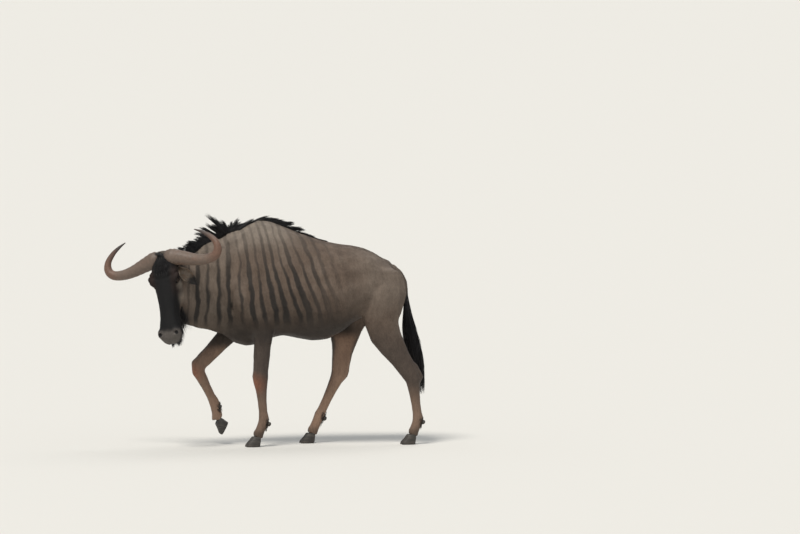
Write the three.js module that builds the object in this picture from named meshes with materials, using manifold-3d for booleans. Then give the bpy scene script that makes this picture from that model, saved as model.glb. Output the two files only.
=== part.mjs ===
// A blue wildebeest bull, walking with its head low and turned to its left.
// Millimetres, +Z up. The animal walks towards -X, and its left side faces -Y.
import * as THREE from "three";
import { ParametricGeometry } from "three/addons/geometries/ParametricGeometry.js";
import { mergeVertices } from "three/addons/utils/BufferGeometryUtils.js";
import Module from "manifold-3d";

const wasm = await Module();
wasm.setup();

// Driving sizes of the animal
const WITHERS = 1400; // height of the skin over the shoulder blades
const CROUP = 1222; // height of the skin over the hips
const BELLY = 645; // height of the lowest skin of the belly
const HALF_BARREL = 252; // half the width of the rib cage
const HEAD_LENGTH = 548; // from between the horns to the lips
const HORN_REACH = 372; // from the head's middle line to the horn's outermost centre line
const EYE_RADIUS = 21;
const HOOF_TOP = -4; // the top of a hoof, over the middle of its coronet
const GAP = 0.35; // left between two pieces that touch
const SOCKET = 0.9; // left round a piece that is set into another

// The head's stance: how far it turns from straight ahead to its left, nods and leans
const HEAD_TURN = 53;
const HEAD_NOD = 12;
const HEAD_LEAN = 11.5;
const POLL = new THREE.Vector3(-905, -186, 1186);

// Colours
const HIDE = 0x6b5a4e;
const DARK_HIDE = 0x4a3f38;
const TAN_HIDE = 0x8a5f45;
const BLACK_HAIR = 0x17161a;
const FACE = 0x232228;
const HORN = 0x8b7467;
const HOOF = 0x2a2624;
const EYE = 0x1a1210;

const LEFT = -1;
const RIGHT = 1;
const up = new THREE.Vector3(0, 0, 1);
const ahead = new THREE.Vector3(-1, 0, 0);

const degrees = THREE.MathUtils.degToRad;
const point = (x, y, z) => new THREE.Vector3(x, y, z);

// The head's own frame: x runs from the poll to the lips, y to its left and z out of the forehead.
function headFrame() {
  const faces = ahead.clone().applyAxisAngle(up, degrees(HEAD_TURN));
  const left = up.clone().cross(faces);
  const nose = up.clone().negate().applyAxisAngle(left, degrees(-HEAD_NOD));
  const brow = nose.clone().cross(left);
  nose.applyAxisAngle(brow, degrees(HEAD_LEAN));
  left.applyAxisAngle(brow, degrees(HEAD_LEAN));
  return new THREE.Matrix4().makeBasis(nose, left, brow).setPosition(POLL);
}
const HEAD = headFrame();
const onHead = (x, y, z) => point(x, y, z).applyMatrix4(HEAD);
const headWay = (x, y, z) => point(x, y, z).transformDirection(HEAD);

// A closed solid from a three.js geometry: shared vertices merged, faces with no area dropped.
function solid(geometry) {
  const bare = new THREE.BufferGeometry();
  bare.setAttribute("position", geometry.getAttribute("position"));
  if (geometry.index) bare.setIndex(geometry.index);
  const merged = mergeVertices(bare, 1e-3);
  const corners = merged.index.array;
  const kept = [];
  for (let i = 0; i < corners.length; i += 3) {
    const [a, b, c] = corners.slice(i, i + 3);
    if (a !== b && b !== c && c !== a) kept.push(a, b, c);
  }
  const made = new wasm.Manifold(
    new wasm.Mesh({
      numProp: 3,
      vertProperties: new Float32Array(merged.attributes.position.array),
      triVerts: new Uint32Array(kept),
    }),
  );
  if (made.volume() > 0) return made;
  for (let i = 0; i < kept.length; i += 3)
    [kept[i + 1], kept[i + 2]] = [kept[i + 2], kept[i + 1]];
  return new wasm.Manifold(
    new wasm.Mesh({
      numProp: 3,
      vertProperties: new Float32Array(merged.attributes.position.array),
      triVerts: new Uint32Array(kept),
    }),
  );
}

// Values between the rows of a table, on a smooth curve through them.
function between(rows, t) {
  const last = rows.length - 1;
  const place = THREE.MathUtils.clamp(t, 0, 1) * last;
  const i = Math.min(Math.floor(place), last - 1);
  const s = place - i;
  const row = (k) => rows[THREE.MathUtils.clamp(k, 0, last)];
  return rows[i].map((_, column) => {
    const [a, b, c, d] = [i - 1, i, i + 1, i + 2].map((k) => row(k)[column]);
    const low = (c - a) / 2;
    const high = (d - b) / 2;
    return (
      b +
      s * (low + s * (3 * (c - b) - 2 * low - high + s * (2 * (b - c) + low + high)))
    );
  });
}

// A loft through rows of [x, y, z, side, over, under, roundness]: the centre of a section, half
// its width, its height over and under the centre, and how square its corners are (2 is an ellipse).
// Sections stand across the path, turned so that `top` is their upper side, unless `level` is set.
function loft(rows, { steps, sides = 16, top = up, across = null, grow = 0 }) {
  const centre = (t) => point(...between(rows, t).slice(0, 3));
  const frames = [];
  for (let k = 0; k <= steps; k++) {
    const t = k / steps;
    const [, , , side, over, under, square] = between(rows, t);
    const way = across
      ? across.clone()
      : centre(Math.min(1, t + 0.01)).sub(centre(Math.max(0, t - 0.01))).normalize();
    const right = way.clone().cross(top).normalize();
    const above = right.clone().cross(way).normalize();
    const size = [side, over, under].map((v) => Math.max(v, 0.5) + grow);
    const push = k === 0 ? -grow : k === steps ? grow : 0;
    const at = centre(t).addScaledVector(way, push);
    frames.push({ at, right, above, size, square });
  }
  const shape = (u, v, target) => {
    const row = Math.round(v * (steps + 2)) - 1;
    const f = frames[THREE.MathUtils.clamp(row, 0, steps)];
    target.copy(f.at);
    if (row < 0 || row > steps) return;
    const angle = (Math.round(u * sides) % sides) * ((2 * Math.PI) / sides);
    const [c, s] = [Math.cos(angle), Math.sin(angle)];
    const power = 2 / f.square;
    target.addScaledVector(f.right, f.size[0] * Math.sign(c) * Math.abs(c) ** power);
    const height = s > 0 ? f.size[1] : f.size[2];
    target.addScaledVector(f.above, height * Math.sign(s) * Math.abs(s) ** power);
  };
  return solid(new ParametricGeometry(shape, sides, steps + 2));
}

function ball(centre, [rx, ry, rz], turn, segments = 16) {
  const geometry = new THREE.SphereGeometry(1, segments, Math.round(segments * 0.6));
  const place = turn.clone().scale(point(rx, ry, rz)).setPosition(centre);
  return solid(geometry.applyMatrix4(place));
}

// A block that holds everything on one side of a plane, out to `reach`.
function beyond(origin, way, reach, width = 3000) {
  const geometry = new THREE.BoxGeometry(width, width, reach);
  geometry.translate(0, 0, reach / 2);
  const turn = new THREE.Quaternion().setFromUnitVectors(up, way.clone().normalize());
  geometry.applyQuaternion(turn);
  geometry.translate(origin.x, origin.y, origin.z);
  return solid(geometry);
}

// Two parts of a solid, on the near and far side of a plane, with the gap between them.
function parted(whole, origin, way, within = null) {
  const region = beyond(origin.clone().addScaledVector(way, GAP / 2), way, 2500);
  const wider = beyond(origin.clone().addScaledVector(way, -GAP / 2), way, 2500);
  const cut = within ? region.intersect(within) : region;
  const taken = within ? wider.intersect(within) : wider;
  return [whole.intersect(cut), whole.subtract(taken)];
}

function block(low, high) {
  const size = high.clone().sub(low);
  const geometry = new THREE.BoxGeometry(size.x, size.y, size.z);
  geometry.translate(...low.clone().addScaledVector(size, 0.5).toArray());
  return solid(geometry);
}

// Trunk: rows of [x, top, bottom, half width, share of the height at the widest, roundness]
function trunk() {
  const rows = [
    [-540, 1190, 742, 92, 0.42, 2.0],
    [-452, 1280, 650, 160, 0.42, 2.0],
    [-350, 1352, 608, 204, 0.42, 1.95],
    [-250, WITHERS - 4, 622, 234, 0.4, 1.85],
    [-140, 1364, 672, 256, 0.42, 1.9],
    [-10, 1310, 658, HALF_BARREL, 0.44, 2.05],
    [120, 1262, BELLY, HALF_BARREL + 6, 0.46, 2.15],
    [240, 1236, 680, 268, 0.48, 2.15],
    [345, CROUP, 752, 246, 0.5, 2.1],
    [445, 1190, 790, 228, 0.52, 2.1],
    [545, 1122, 812, 196, 0.55, 2.0],
    [608, 1036, 836, 144, 0.55, 2.0],
    [646, 966, 872, 66, 0.5, 2.0],
  ];
  const made = rows.map(([x, high, low, half, share, square]) => {
    const middle = low + (high - low) * share;
    return [x, 0, middle, half, high - middle, middle - low, square];
  });
  return loft(made, { steps: 17, sides: 16, across: point(1, 0, 0) });
}

// Neck: rows of [x, y, top, bottom, half width, roundness] from the shoulders to the poll
function neck() {
  const rows = [
    [-330, 0, 1340, 668, 176, 2.0],
    [-450, -6, 1298, 668, 148, 2.0],
    [-560, -22, 1262, 700, 122, 2.05],
    [-660, -50, 1232, 726, 103, 2.1],
    [-738, -84, 1208, 782, 92, 2.1],
    [-836, -130, 1172, 890, 76, 2.0],
  ];
  const made = rows.map(([x, y, high, low, half, square]) => {
    const middle = low + (high - low) * 0.46;
    return [x, y, middle, half, high - middle, middle - low, square];
  });
  return loft(made, { steps: 7, sides: 12 });
}

// Head: rows of [distance from the poll, forehead, jaw, half width, share, roundness]
function skull() {
  const rows = [
    [-34, -34, -128, 44, 0.5, 2.0],
    [0, -4, -166, 72, 0.6, 2.2],
    [62, 8, -196, 84, 0.62, 2.4],
    [132, 6, -214, 92, 0.66, 2.6],
    [196, -1, -205, 80, 0.66, 2.6],
    [262, -6, -180, 67, 0.64, 2.6],
    [330, -8, -152, 59, 0.62, 2.6],
    [396, -9, -132, 58, 0.62, 2.6],
    [448, -8, -124, 67, 0.62, 2.6],
    [492, -14, -120, 72, 0.6, 2.5],
    [526, -32, -108, 62, 0.5, 2.3],
    [HEAD_LENGTH, -56, -84, 30, 0.5, 2.0],
  ];
  const made = rows.map(([x, brow, jaw, half, share, square]) => {
    const middle = jaw + (brow - jaw) * share;
    const at = onHead(x, 0, middle);
    return [...at.toArray(), half, brow - middle, middle - jaw, square];
  });
  const top = headWay(0, 0, 1);
  return loft(made, { steps: 16, sides: 16, top, across: headWay(1, 0, 0) });
}

// Brow ridge, cheek and nostril wing on one side; hand is 1 on the head's left
function faceForms(hand) {
  const turn = new THREE.Matrix4().extractRotation(HEAD);
  return [
    ball(onHead(142, hand * 74, -26), [46, 22, 26], turn, 8),
    ball(onHead(176, hand * 64, -112), [92, 27, 74], turn, 9),
    ball(onHead(478, hand * 46, -38), [38, 30, 32], turn, 8),
  ];
}

function nostril(hand) {
  const rows = [
    [...onHead(506, hand * 40, 4).toArray(), 5, 5, 5, 2],
    [...onHead(488, hand * 50, -18).toArray(), 11, 8, 8, 2],
    [...onHead(466, hand * 50, -34).toArray(), 9, 6, 6, 2],
  ];
  return loft(rows, { steps: 3, sides: 6, top: headWay(1, 0, 0) });
}

// The slit between the lips, from one corner of the mouth round the front to the other
function mouth() {
  const half = 70;
  const shape = new THREE.Shape();
  shape.moveTo(430, -half - 30);
  shape.lineTo(HEAD_LENGTH + 20, -half - 30);
  shape.lineTo(HEAD_LENGTH + 20, half + 30);
  shape.lineTo(430, half + 30);
  shape.quadraticCurveTo(HEAD_LENGTH - 10, half * 0.9, HEAD_LENGTH - 12, 0);
  shape.quadraticCurveTo(HEAD_LENGTH - 10, -half * 0.9, 430, -half - 30);
  const geometry = new THREE.ExtrudeGeometry(shape, {
    depth: 5,
    bevelEnabled: false,
    curveSegments: 5,
  });
  geometry.translate(0, 0, -92);
  return solid(geometry.applyMatrix4(HEAD));
}

// Horn: from the boss outwards and a little down, then up and in to the tip
function horn(hand, grow = 0) {
  const r = HORN_REACH;
  const rows = [
    [26, 26, -64, 40, 36],
    [26, 62, -60, 42, 39],
    [38, 128, -56, 38, 36],
    [58, 205, -54, 34, 31],
    [70, 278, -50, 31, 28],
    [62, r - 30, -44, 29, 26],
    [28, r, -38, 26, 24],
    [-20, r - 6, -32, 20, 19],
    [-66, r - 44, -28, 15, 14],
    [-98, r - 92, -24, 9, 9],
    [-120, r - 138, -22, 2.5, 2.5],
  ];
  const made = rows.map(([x, y, z, wide, deep]) => {
    const at = onHead(x, hand * y, z);
    return [...at.toArray(), wide, deep, deep, 2];
  });
  return loft(made, { steps: 16, sides: 8, top: headWay(0, 0, 1), grow });
}

// Ear: a leaf with a hollow in front, on a short round root
function ear(hand, grow = 0) {
  const root = [84, 74, -86];
  const tip = hand > 0 ? [176, 172, -152] : [116, 118, -236];
  const shares = [
    [0, 22, 20],
    [0.18, 25, 20],
    [0.42, 33, 13],
    [0.66, 31, 9],
    [0.86, 19, 6],
    [1, 4, 3],
  ];
  const along = (s) =>
    onHead(...root.map((v, i) => (i === 1 ? hand : 1) * (v + (tip[i] - v) * s)));
  const rows = shares.map(([s, wide, deep]) => [
    ...along(s).toArray(),
    wide,
    deep,
    deep,
    2,
  ]);
  const opens = headWay(0.1, hand * 0.45, 0.9);
  const leaf = loft(rows, { steps: 6, sides: 8, top: opens, grow });
  if (grow > 0) return leaf;
  const hollowRows = shares.slice(1).map(([s, wide, deep]) => [
    ...along(s).addScaledVector(opens, deep * 0.95).toArray(),
    Math.max(wide - 7, 1.5),
    deep * 0.7,
    deep * 0.95,
    2,
  ]);
  return leaf.subtract(loft(hollowRows, { steps: 5, sides: 6, top: opens }));
}

function eyeball(hand, grow = 0) {
  const r = EYE_RADIUS + grow;
  const turn = new THREE.Matrix4().extractRotation(HEAD);
  return ball(onHead(160, hand * 79, -36), [r, r, r], turn, 10);
}

// Leg lofts: rows of [joint or point, half width, fore and aft half depths]
function limb(rows, steps, sides = 10) {
  const made = rows.map(([at, side, front, back]) => [
    ...at.toArray(),
    side,
    front,
    back ?? front,
    2.1,
  ]);
  return loft(made, { steps, sides, top: ahead });
}

// Shares of a line between two joints, pushed aside by an offset
function along(a, b, share, push = [0, 0, 0]) {
  return a.clone().lerp(b, share).add(point(...push));
}

function foreleg(side, { blade, shoulder, elbow, carpus, fetlock, coronet }) {
  const out = side * 1;
  const bladeRows = [
    [blade, 34, 78, 88],
    [along(blade, shoulder, 0.4, [0, out * 16, 0]), 46, 96, 120],
    [along(blade, shoulder, 0.8, [0, out * 8, 0]), 62, 92, 128],
    [shoulder, 66, 84, 118],
    [along(shoulder, elbow, 0.55), 64, 96, 104],
    [elbow, 54, 74, 70],
  ];
  const lowerRows = [
    [along(shoulder, elbow, 0.45), 60, 96, 96],
    [elbow, 52, 78, 74],
    [along(elbow, carpus, 0.3), 48, 64, 60],
    [along(elbow, carpus, 0.62), 40, 52, 49],
    [along(elbow, carpus, 0.88), 38, 49, 43],
    [carpus, 43, 52, 46],
    [along(carpus, fetlock, 0.2), 31, 38, 36],
    [along(carpus, fetlock, 0.5), 24, 28, 28],
    [along(carpus, fetlock, 0.82), 25, 24, 28],
    [fetlock, 33, 30, 35],
    [along(fetlock, coronet, 0.5), 30, 25, 28],
    [coronet, 40, 36, 36],
  ];
  return limb(bladeRows, 5).add(limb(lowerRows, 14));
}

function hindleg(side, { hip, stifle, hock, fetlock, coronet }) {
  const out = side;
  const heel = point(46, 0, 34).applyAxisAngle(point(0, 1, 0), 0);
  const thighRows = [
    [along(hip, stifle, -0.16, [-16, out * -44, 0]), 40, 76, 70],
    [hip, 84, 140, 132],
    [along(hip, stifle, 0.5, [22, out * 6, 0]), 80, 132, 148],
    [along(hip, stifle, 0.95, [20, 0, 6]), 62, 106, 136],
    [along(stifle, hock, 0.3, [10, 0, 0]), 48, 78, 96],
  ];
  const lowerRows = [
    [along(hip, stifle, 0.75, [10, 0, 0]), 66, 110, 144],
    [along(stifle, hock, 0.1, [6, 0, 0]), 58, 98, 130],
    [along(stifle, hock, 0.4), 48, 84, 98],
    [along(stifle, hock, 0.72), 37, 58, 64],
    [hock, 40, 52, 54],
    [along(hock, fetlock, 0.18), 31, 39, 41],
    [along(hock, fetlock, 0.5), 25, 29, 31],
    [along(hock, fetlock, 0.82), 25, 25, 29],
    [fetlock, 33, 30, 35],
    [along(fetlock, coronet, 0.5), 30, 25, 28],
    [coronet, 40, 36, 36],
  ];
  const heelRows = [
    [along(stifle, hock, 0.62, [34, 0, 0]), 12, 16, 16],
    [hock.clone().add(heel), 20, 22, 20],
    [hock.clone().add(point(34, 0, -26)), 20, 24, 16],
  ];
  return limb(thighRows, 5).add(limb(lowerRows, 14)).add(limb(heelRows, 3, 6));
}

// One toe of a cloven hoof, flat underneath. tilt turns a raised foot, toes down.
function toe(coronet, side, tilt, grow = 0) {
  const long = 50;
  const rows = [
    [-16, side * 23, 0, 21, 46, 44],
    [-12, side * 23, 16, 21, 44, 42],
    [0, side * 21, 40, 19, 34, 34],
    [8, side * 19, 66 + HOOF_TOP, 16, 26, 26],
  ].map(([x, y, z, wide, front, back]) => [
    x - long * 0.35,
    y,
    z - 66,
    wide,
    front,
    back,
    2.3,
  ]);
  const made = rows.map((row) => {
    const at = point(...row.slice(0, 3)).applyAxisAngle(point(0, 1, 0), tilt);
    return [...at.add(coronet).toArray(), ...row.slice(3)];
  });
  const rise = up.clone().applyAxisAngle(point(0, 1, 0), tilt);
  const front = ahead.clone().applyAxisAngle(point(0, 1, 0), tilt);
  return loft(made, { steps: 3, sides: 8, top: front, across: rise, grow });
}

function dewclaw(fetlock, side, grow = 0) {
  const at = fetlock.clone().add(point(33, side * 17, -20));
  const turn = new THREE.Matrix4().makeRotationY(0.5);
  return ball(at, [13 + grow, 12 + grow, 17 + grow], turn, 6);
}

function tailDock(grow = 0) {
  const rows = [
    [570, 0, 1086, 26, 26, 26, 2],
    [638, 0, 1040, 27, 25, 25, 2],
    [667, 0, 960, 23, 20, 20, 2],
    [668, 0, 860, 18, 16, 16, 2],
    [672, 0, 770, 14, 13, 13, 2],
  ];
  return loft(rows, { steps: 5, sides: 8, top: ahead, grow });
}

// Tail hair: a long lock that thickens below the dock and thins to the tip
function tailHair() {
  const rows = [
    [670, 0, 830, 20, 19, 19, 2],
    [674, 0, 770, 30, 28, 30, 2],
    [690, 0, 690, 42, 46, 46, 2],
    [710, 0, 590, 46, 54, 54, 2],
    [730, 0, 480, 42, 50, 52, 2],
    [746, 0, 380, 28, 34, 34, 2],
    [768, 0, 280, 5, 5, 6, 2],
  ];
  return loft(rows, { steps: 9, sides: 8, top: ahead }).subtract(tailDock(SOCKET));
}

// A stretch of mane on the crest: rows of [x, y, skin height, hair height, lean along x, half width]
function maneStretch(rows, steps, grow) {
  const rootDepth = 12;
  const made = rows.map(([x, y, skin, hair, lean, half]) => {
    const middle = skin + hair * 0.42;
    return [x + lean * 0.3, y, middle, half, hair * 0.58, middle - skin + rootDepth, 1.8];
  });
  return loft(made, { steps, sides: 8, grow });
}

function maneOfNeck(grow = 0) {
  return maneStretch(
    [
      [-470, 0, 1290, 60, -40, 12],
      [-505, -4, 1278, 112, -70, 20],
      [-560, -14, 1262, 104, -40, 24],
      [-640, -42, 1238, 70, 0, 26],
      [-720, -76, 1212, 52, 0, 26],
      [-812, -122, 1184, 40, 0, 24],
    ],
    8,
    grow,
  );
}

function maneOfWithers(grow = 0) {
  return maneStretch(
    [
      [-455, 0, 1304, 70, 0, 10],
      [-430, 0, 1316, 92, 20, 18],
      [-370, 0, 1346, 64, 30, 20],
      [-300, 0, 1378, 34, 20, 20],
      [-220, 0, 1390, 20, 10, 18],
      [-100, 0, 1346, 16, 0, 16],
      [20, 0, 1296, 8, 0, 10],
    ],
    9,
    grow,
  );
}

// Beard: hair that hangs from under the jaw and throat, in the middle plane of the head
function beard(grow = 0) {
  const rows = [
    [532, -92, 10, 16, 14],
    [492, -128, 22, 40, 22],
    [430, -158, 26, 58, 26],
    [360, -186, 26, 60, 26],
    [280, -216, 22, 46, 22],
  ].map(([x, z, wide, deep, over]) => [
    ...onHead(x, 0, z).toArray(),
    wide,
    over,
    deep * 0.75,
    1.9,
  ]);
  return loft(rows, { steps: 7, sides: 8, top: headWay(0, 0, 1), grow });
}

// Stance: where the joints of each leg are
const LEGS = {
  fore_left: {
    reach: [-480, 0],
    side: LEFT,
    joints: {
      blade: point(-262, -78, 1262),
      shoulder: point(-392, -158, 892),
      elbow: point(-254, -142, 748),
      carpus: point(-270, -126, 418),
      fetlock: point(-252, -118, 158),
      coronet: point(-286, -116, 66),
    },
  },
  fore_right: {
    reach: [-900, -270],
    side: RIGHT,
    joints: {
      blade: point(-288, 78, 1262),
      shoulder: point(-448, 158, 872),
      elbow: point(-390, 140, 716),
      carpus: point(-620, 122, 474),
      fetlock: point(-514, 116, 252),
      coronet: point(-494, 114, 158),
    },
    tilt: -1.1,
  },
  hind_left: {
    reach: [370, 1000],
    side: LEFT,
    joints: {
      hip: point(506, -142, 1020),
      stifle: point(436, -156, 764),
      hock: point(678, -126, 410),
      fetlock: point(712, -118, 156),
      coronet: point(684, -116, 66),
    },
  },
  hind_right: {
    reach: [-20, 520],
    side: RIGHT,
    joints: {
      hip: point(480, 142, 1024),
      stifle: point(322, 158, 792),
      hock: point(272, 126, 432),
      fetlock: point(142, 116, 170),
      coronet: point(98, 114, 66),
    },
  },
};

const group = new THREE.Group();

function place(name, made, colour, roughness = 0.8) {
  const mesh = made.getMesh();
  const geometry = new THREE.BufferGeometry();
  geometry.setAttribute("position", new THREE.BufferAttribute(mesh.vertProperties, 3));
  geometry.setIndex(new THREE.BufferAttribute(mesh.triVerts, 1));
  const material = new THREE.MeshStandardMaterial({
    color: colour,
    roughness,
    metalness: 0,
  });
  const placed = new THREE.Mesh(geometry, material);
  placed.name = name;
  group.add(placed);
}

const hands = { left: 1, right: -1 };
let flesh = trunk().add(neck()).add(skull());
for (const hand of Object.values(hands))
  for (const form of faceForms(hand)) flesh = flesh.add(form);
flesh = flesh.add(tailDock());
for (const { side, joints, tilt = 0 } of Object.values(LEGS)) {
  const rise = up.clone().applyAxisAngle(point(0, 1, 0), tilt);
  const end = joints.coronet.clone().addScaledVector(rise, HOOF_TOP + GAP);
  const leg = (joints.hip ? hindleg : foreleg)(side, joints);
  flesh = flesh.add(leg.subtract(beyond(end, rise.negate(), 2500)));
}

for (const hand of Object.values(hands)) {
  for (const piece of [horn, ear, eyeball]) flesh = flesh.subtract(piece(hand, SOCKET));
  flesh = flesh.subtract(nostril(hand));
}
flesh = flesh.subtract(mouth());
for (const { joints } of Object.values(LEGS))
  for (const side of [LEFT, RIGHT])
    flesh = flesh.subtract(dewclaw(joints.fetlock, side, SOCKET));

const hair = { mane_neck: maneOfNeck, mane_withers: maneOfWithers, beard };
for (const make of Object.values(hair)) flesh = flesh.subtract(make(SOCKET));

// Cut the joined body where a person would name its parts.
let rest = flesh;
const pieces = {};
function cutOff(name, origin, way, low, high) {
  const [piece, others] = parted(rest, origin, way.clone().normalize(), block(low, high));
  pieces[name] = piece;
  rest = others;
}

// A leg is cut twice, below the elbow or the stifle and below the carpus or the hock.
for (const [name, { side, joints, reach }] of Object.entries(LEGS)) {
  const { elbow, carpus, stifle, hock, fetlock, coronet } = joints;
  const [high, middle] = elbow ? [elbow, carpus] : [stifle, hock];
  const corners = (inner) => [
    point(reach[0], Math.min(side * inner, side * 500), -50),
    point(reach[1], Math.max(side * inner, side * 500), high.z + 60),
  ];
  cutOff(
    `leg_${name}_lower`,
    along(middle, fetlock, 0.14),
    fetlock.clone().sub(middle),
    ...corners(20),
  );
  cutOff(
    `leg_${name}_upper`,
    along(high, middle, elbow ? 0.4 : 0.52),
    middle.clone().sub(high),
    ...corners(74),
  );
}
cutOff(
  "tail_dock",
  point(662, 0, 985),
  point(0.1, 0, -1),
  point(650, -60, 700),
  point(900, 60, 1200),
);
cutOff(
  "head",
  point(-846, -132, 1060),
  point(-0.72, -0.6, -0.34),
  point(-1500, -900, 400),
  point(-500, 400, 1500),
);
cutOff(
  "neck",
  point(-505, 0, 980),
  point(-1, 0, -0.12),
  point(-1500, -900, 400),
  point(-300, 70, 1600),
);

for (const [name, piece] of Object.entries(pieces)) place(name, piece, HIDE);
place("trunk", rest, HIDE);
place("tail_hair", tailHair(), BLACK_HAIR);
for (const [name, make] of Object.entries(hair)) place(name, make(), BLACK_HAIR);
for (const [name, hand] of Object.entries(hands)) {
  place(`horn_${name}`, horn(hand), HORN, 0.5);
  place(`ear_${name}`, ear(hand), TAN_HIDE);
  place(`eye_${name}`, eyeball(hand), EYE, 0.1);
}
for (const [name, { joints, tilt = 0 }] of Object.entries(LEGS))
  for (const [word, side] of Object.entries({ near: LEFT, far: RIGHT })) {
    place(`hoof_${name}_${word}`, toe(joints.coronet, side, tilt), HOOF, 0.6);
    place(`dewclaw_${name}_${word}`, dewclaw(joints.fetlock, side), HOOF, 0.6);
  }

// The frame's origin is under the middle of the whole animal.
const bounds = new THREE.Box3().setFromObject(group);
const middle = bounds.getCenter(new THREE.Vector3());
for (const mesh of group.children)
  mesh.geometry.translate(-middle.x, -middle.y, -bounds.min.z);

export default group;
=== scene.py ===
"""A blue wildebeest bull, walking with its head lowered.

One skin with its short coat, the mane, beard and tail, and the horns, ears, eyes and hooves.
"""

import math

import bmesh
import bpy
import numpy as np
from mathutils import Matrix, Vector
from mathutils.kdtree import KDTree


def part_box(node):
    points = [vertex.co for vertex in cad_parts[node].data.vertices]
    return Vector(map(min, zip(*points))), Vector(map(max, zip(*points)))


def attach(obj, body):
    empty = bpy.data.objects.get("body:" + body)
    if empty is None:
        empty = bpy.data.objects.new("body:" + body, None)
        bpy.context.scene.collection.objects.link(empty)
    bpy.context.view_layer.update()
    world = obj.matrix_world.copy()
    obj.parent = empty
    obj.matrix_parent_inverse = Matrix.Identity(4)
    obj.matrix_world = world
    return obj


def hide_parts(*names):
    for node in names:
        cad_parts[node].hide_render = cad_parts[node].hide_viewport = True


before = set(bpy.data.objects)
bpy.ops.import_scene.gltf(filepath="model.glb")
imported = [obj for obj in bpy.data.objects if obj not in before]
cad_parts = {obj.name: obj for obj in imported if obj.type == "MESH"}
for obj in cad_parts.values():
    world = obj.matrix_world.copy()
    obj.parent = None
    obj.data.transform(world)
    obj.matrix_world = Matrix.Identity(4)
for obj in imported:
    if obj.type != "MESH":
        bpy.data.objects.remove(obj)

bl_info = {
    "name": "Wildebeest bull",
    "version": (1, 0, 0),
    "blender": (4, 5, 0),
    "location": "3D View > Sidebar > Wildebeest",
    "description": "Builds the looks of a life-size wildebeest bull over its solid frame",
    "category": "Object",
}

# The head's stance, as the frame has it: place of the poll, turn to its left, nod and lean
POLL = Vector((-0.905, -0.186, 1.186))
HEAD_TURN, HEAD_NOD, HEAD_LEAN = 53, 12, 11.5
EYE_PLACE = Vector((0.160, 0.079, -0.036))
HORN_REACH = 0.372
HANDS = {"left": 1, "right": -1}


def head_axes():
    """The head's own axes: poll to lips, its left, and out of the forehead."""
    up = Vector((0, 0, 1))
    faces = Matrix.Rotation(math.radians(HEAD_TURN), 3, "Z") @ Vector((-1, 0, 0))
    left = up.cross(faces)
    nose = Matrix.Rotation(math.radians(-HEAD_NOD), 3, left) @ -up
    brow = nose.cross(left)
    lean = Matrix.Rotation(math.radians(HEAD_LEAN), 3, brow)
    return lean @ nose, lean @ left, brow


NOSE, LEFT, BROW = head_axes()


def on_head(x, y, z):
    """A point of the head in the animal's own stance frame."""
    return POLL + NOSE * x + LEFT * y + BROW * z


def stance_shift():
    """From the stance frame to the model frame, read from where the frame has the eyes."""
    low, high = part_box("eye_left")
    return (low + high) / 2 - on_head(*EYE_PLACE)


SHIFT = stance_shift()
SHIFT_ROW, POLL_ROW = np.array(SHIFT), np.array(POLL)
HEAD_ROWS = np.array([NOSE, LEFT, BROW])
NOSE_ROW, LEFT_ROW, BROW_ROW = HEAD_ROWS

# Where the head ends and the neck begins, and the way ahead from there
NAPE = (-0.846, -0.132, 1.06)
AHEAD = np.array((-0.72, -0.60, -0.34))
AHEAD /= np.linalg.norm(AHEAD)

FLESH = [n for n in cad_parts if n.startswith("leg_")]
FLESH += ["head", "neck", "trunk", "tail_dock"]

# Where the legs meet the hooves: the middle of the coronet and the way up the toe
TOES = (
    (Vector((-0.286, -0.116, 0.066)), Vector((0, 0, 1))),
    (Vector((-0.494, 0.114, 0.158)), Matrix.Rotation(-1.1, 3, "Y") @ Vector((0, 0, 1))),
    (Vector((0.684, -0.116, 0.066)), Vector((0, 0, 1))),
    (Vector((0.098, 0.114, 0.066)), Vector((0, 0, 1))),
)

# The near and the far carpus, in the stance frame
CARPI = (Vector((-0.270, -0.126, 0.418)), Vector((-0.620, 0.122, 0.474)))


def length_setting(name, description, default):
    return bpy.props.FloatProperty(
        name=name, description=description, default=default, unit="LENGTH"
    )


def count_setting(name, description, default):
    return bpy.props.IntProperty(name=name, description=description, default=default)


def colour_setting(name, description, default):
    return bpy.props.FloatVectorProperty(
        name=name, description=description, default=default, size=3, subtype="COLOR"
    )


class Sizes(bpy.types.PropertyGroup):
    """Sizes of the skin and the hair."""

    coat_depth: length_setting("Coat depth", "How far the skin lies under the frame", 0.005)
    voxel: length_setting("Skin cell", "Cell size of the mesh that joins the flesh", 0.0046)
    skin_faces: count_setting("Skin faces", "Triangles left in the skin", 186000)
    tuft_length: length_setting("Tuft length", "Length of a tuft of the trunk's coat", 0.015)
    tufts: count_setting("Tufts", "Tufts in each piece of the short coat", 46000)
    mane_hairs: count_setting("Mane hairs", "Fine locks in each stretch of the mane", 3600)
    mane_strands: count_setting("Mane strands", "Pointed strands in each stretch of the mane", 30)
    forelock_hairs: count_setting("Forelock locks", "Locks between the horns", 1500)
    ear_hairs: count_setting("Ear hairs", "Tufts on each ear", 2600)
    fringe_hairs: count_setting("Fetlock hairs", "Locks behind all the fetlocks", 800)
    tail_hairs: count_setting("Tail locks", "Locks in the tail", 2600)
    beard_hairs: count_setting("Beard locks", "Locks in the beard", 1800)


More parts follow.
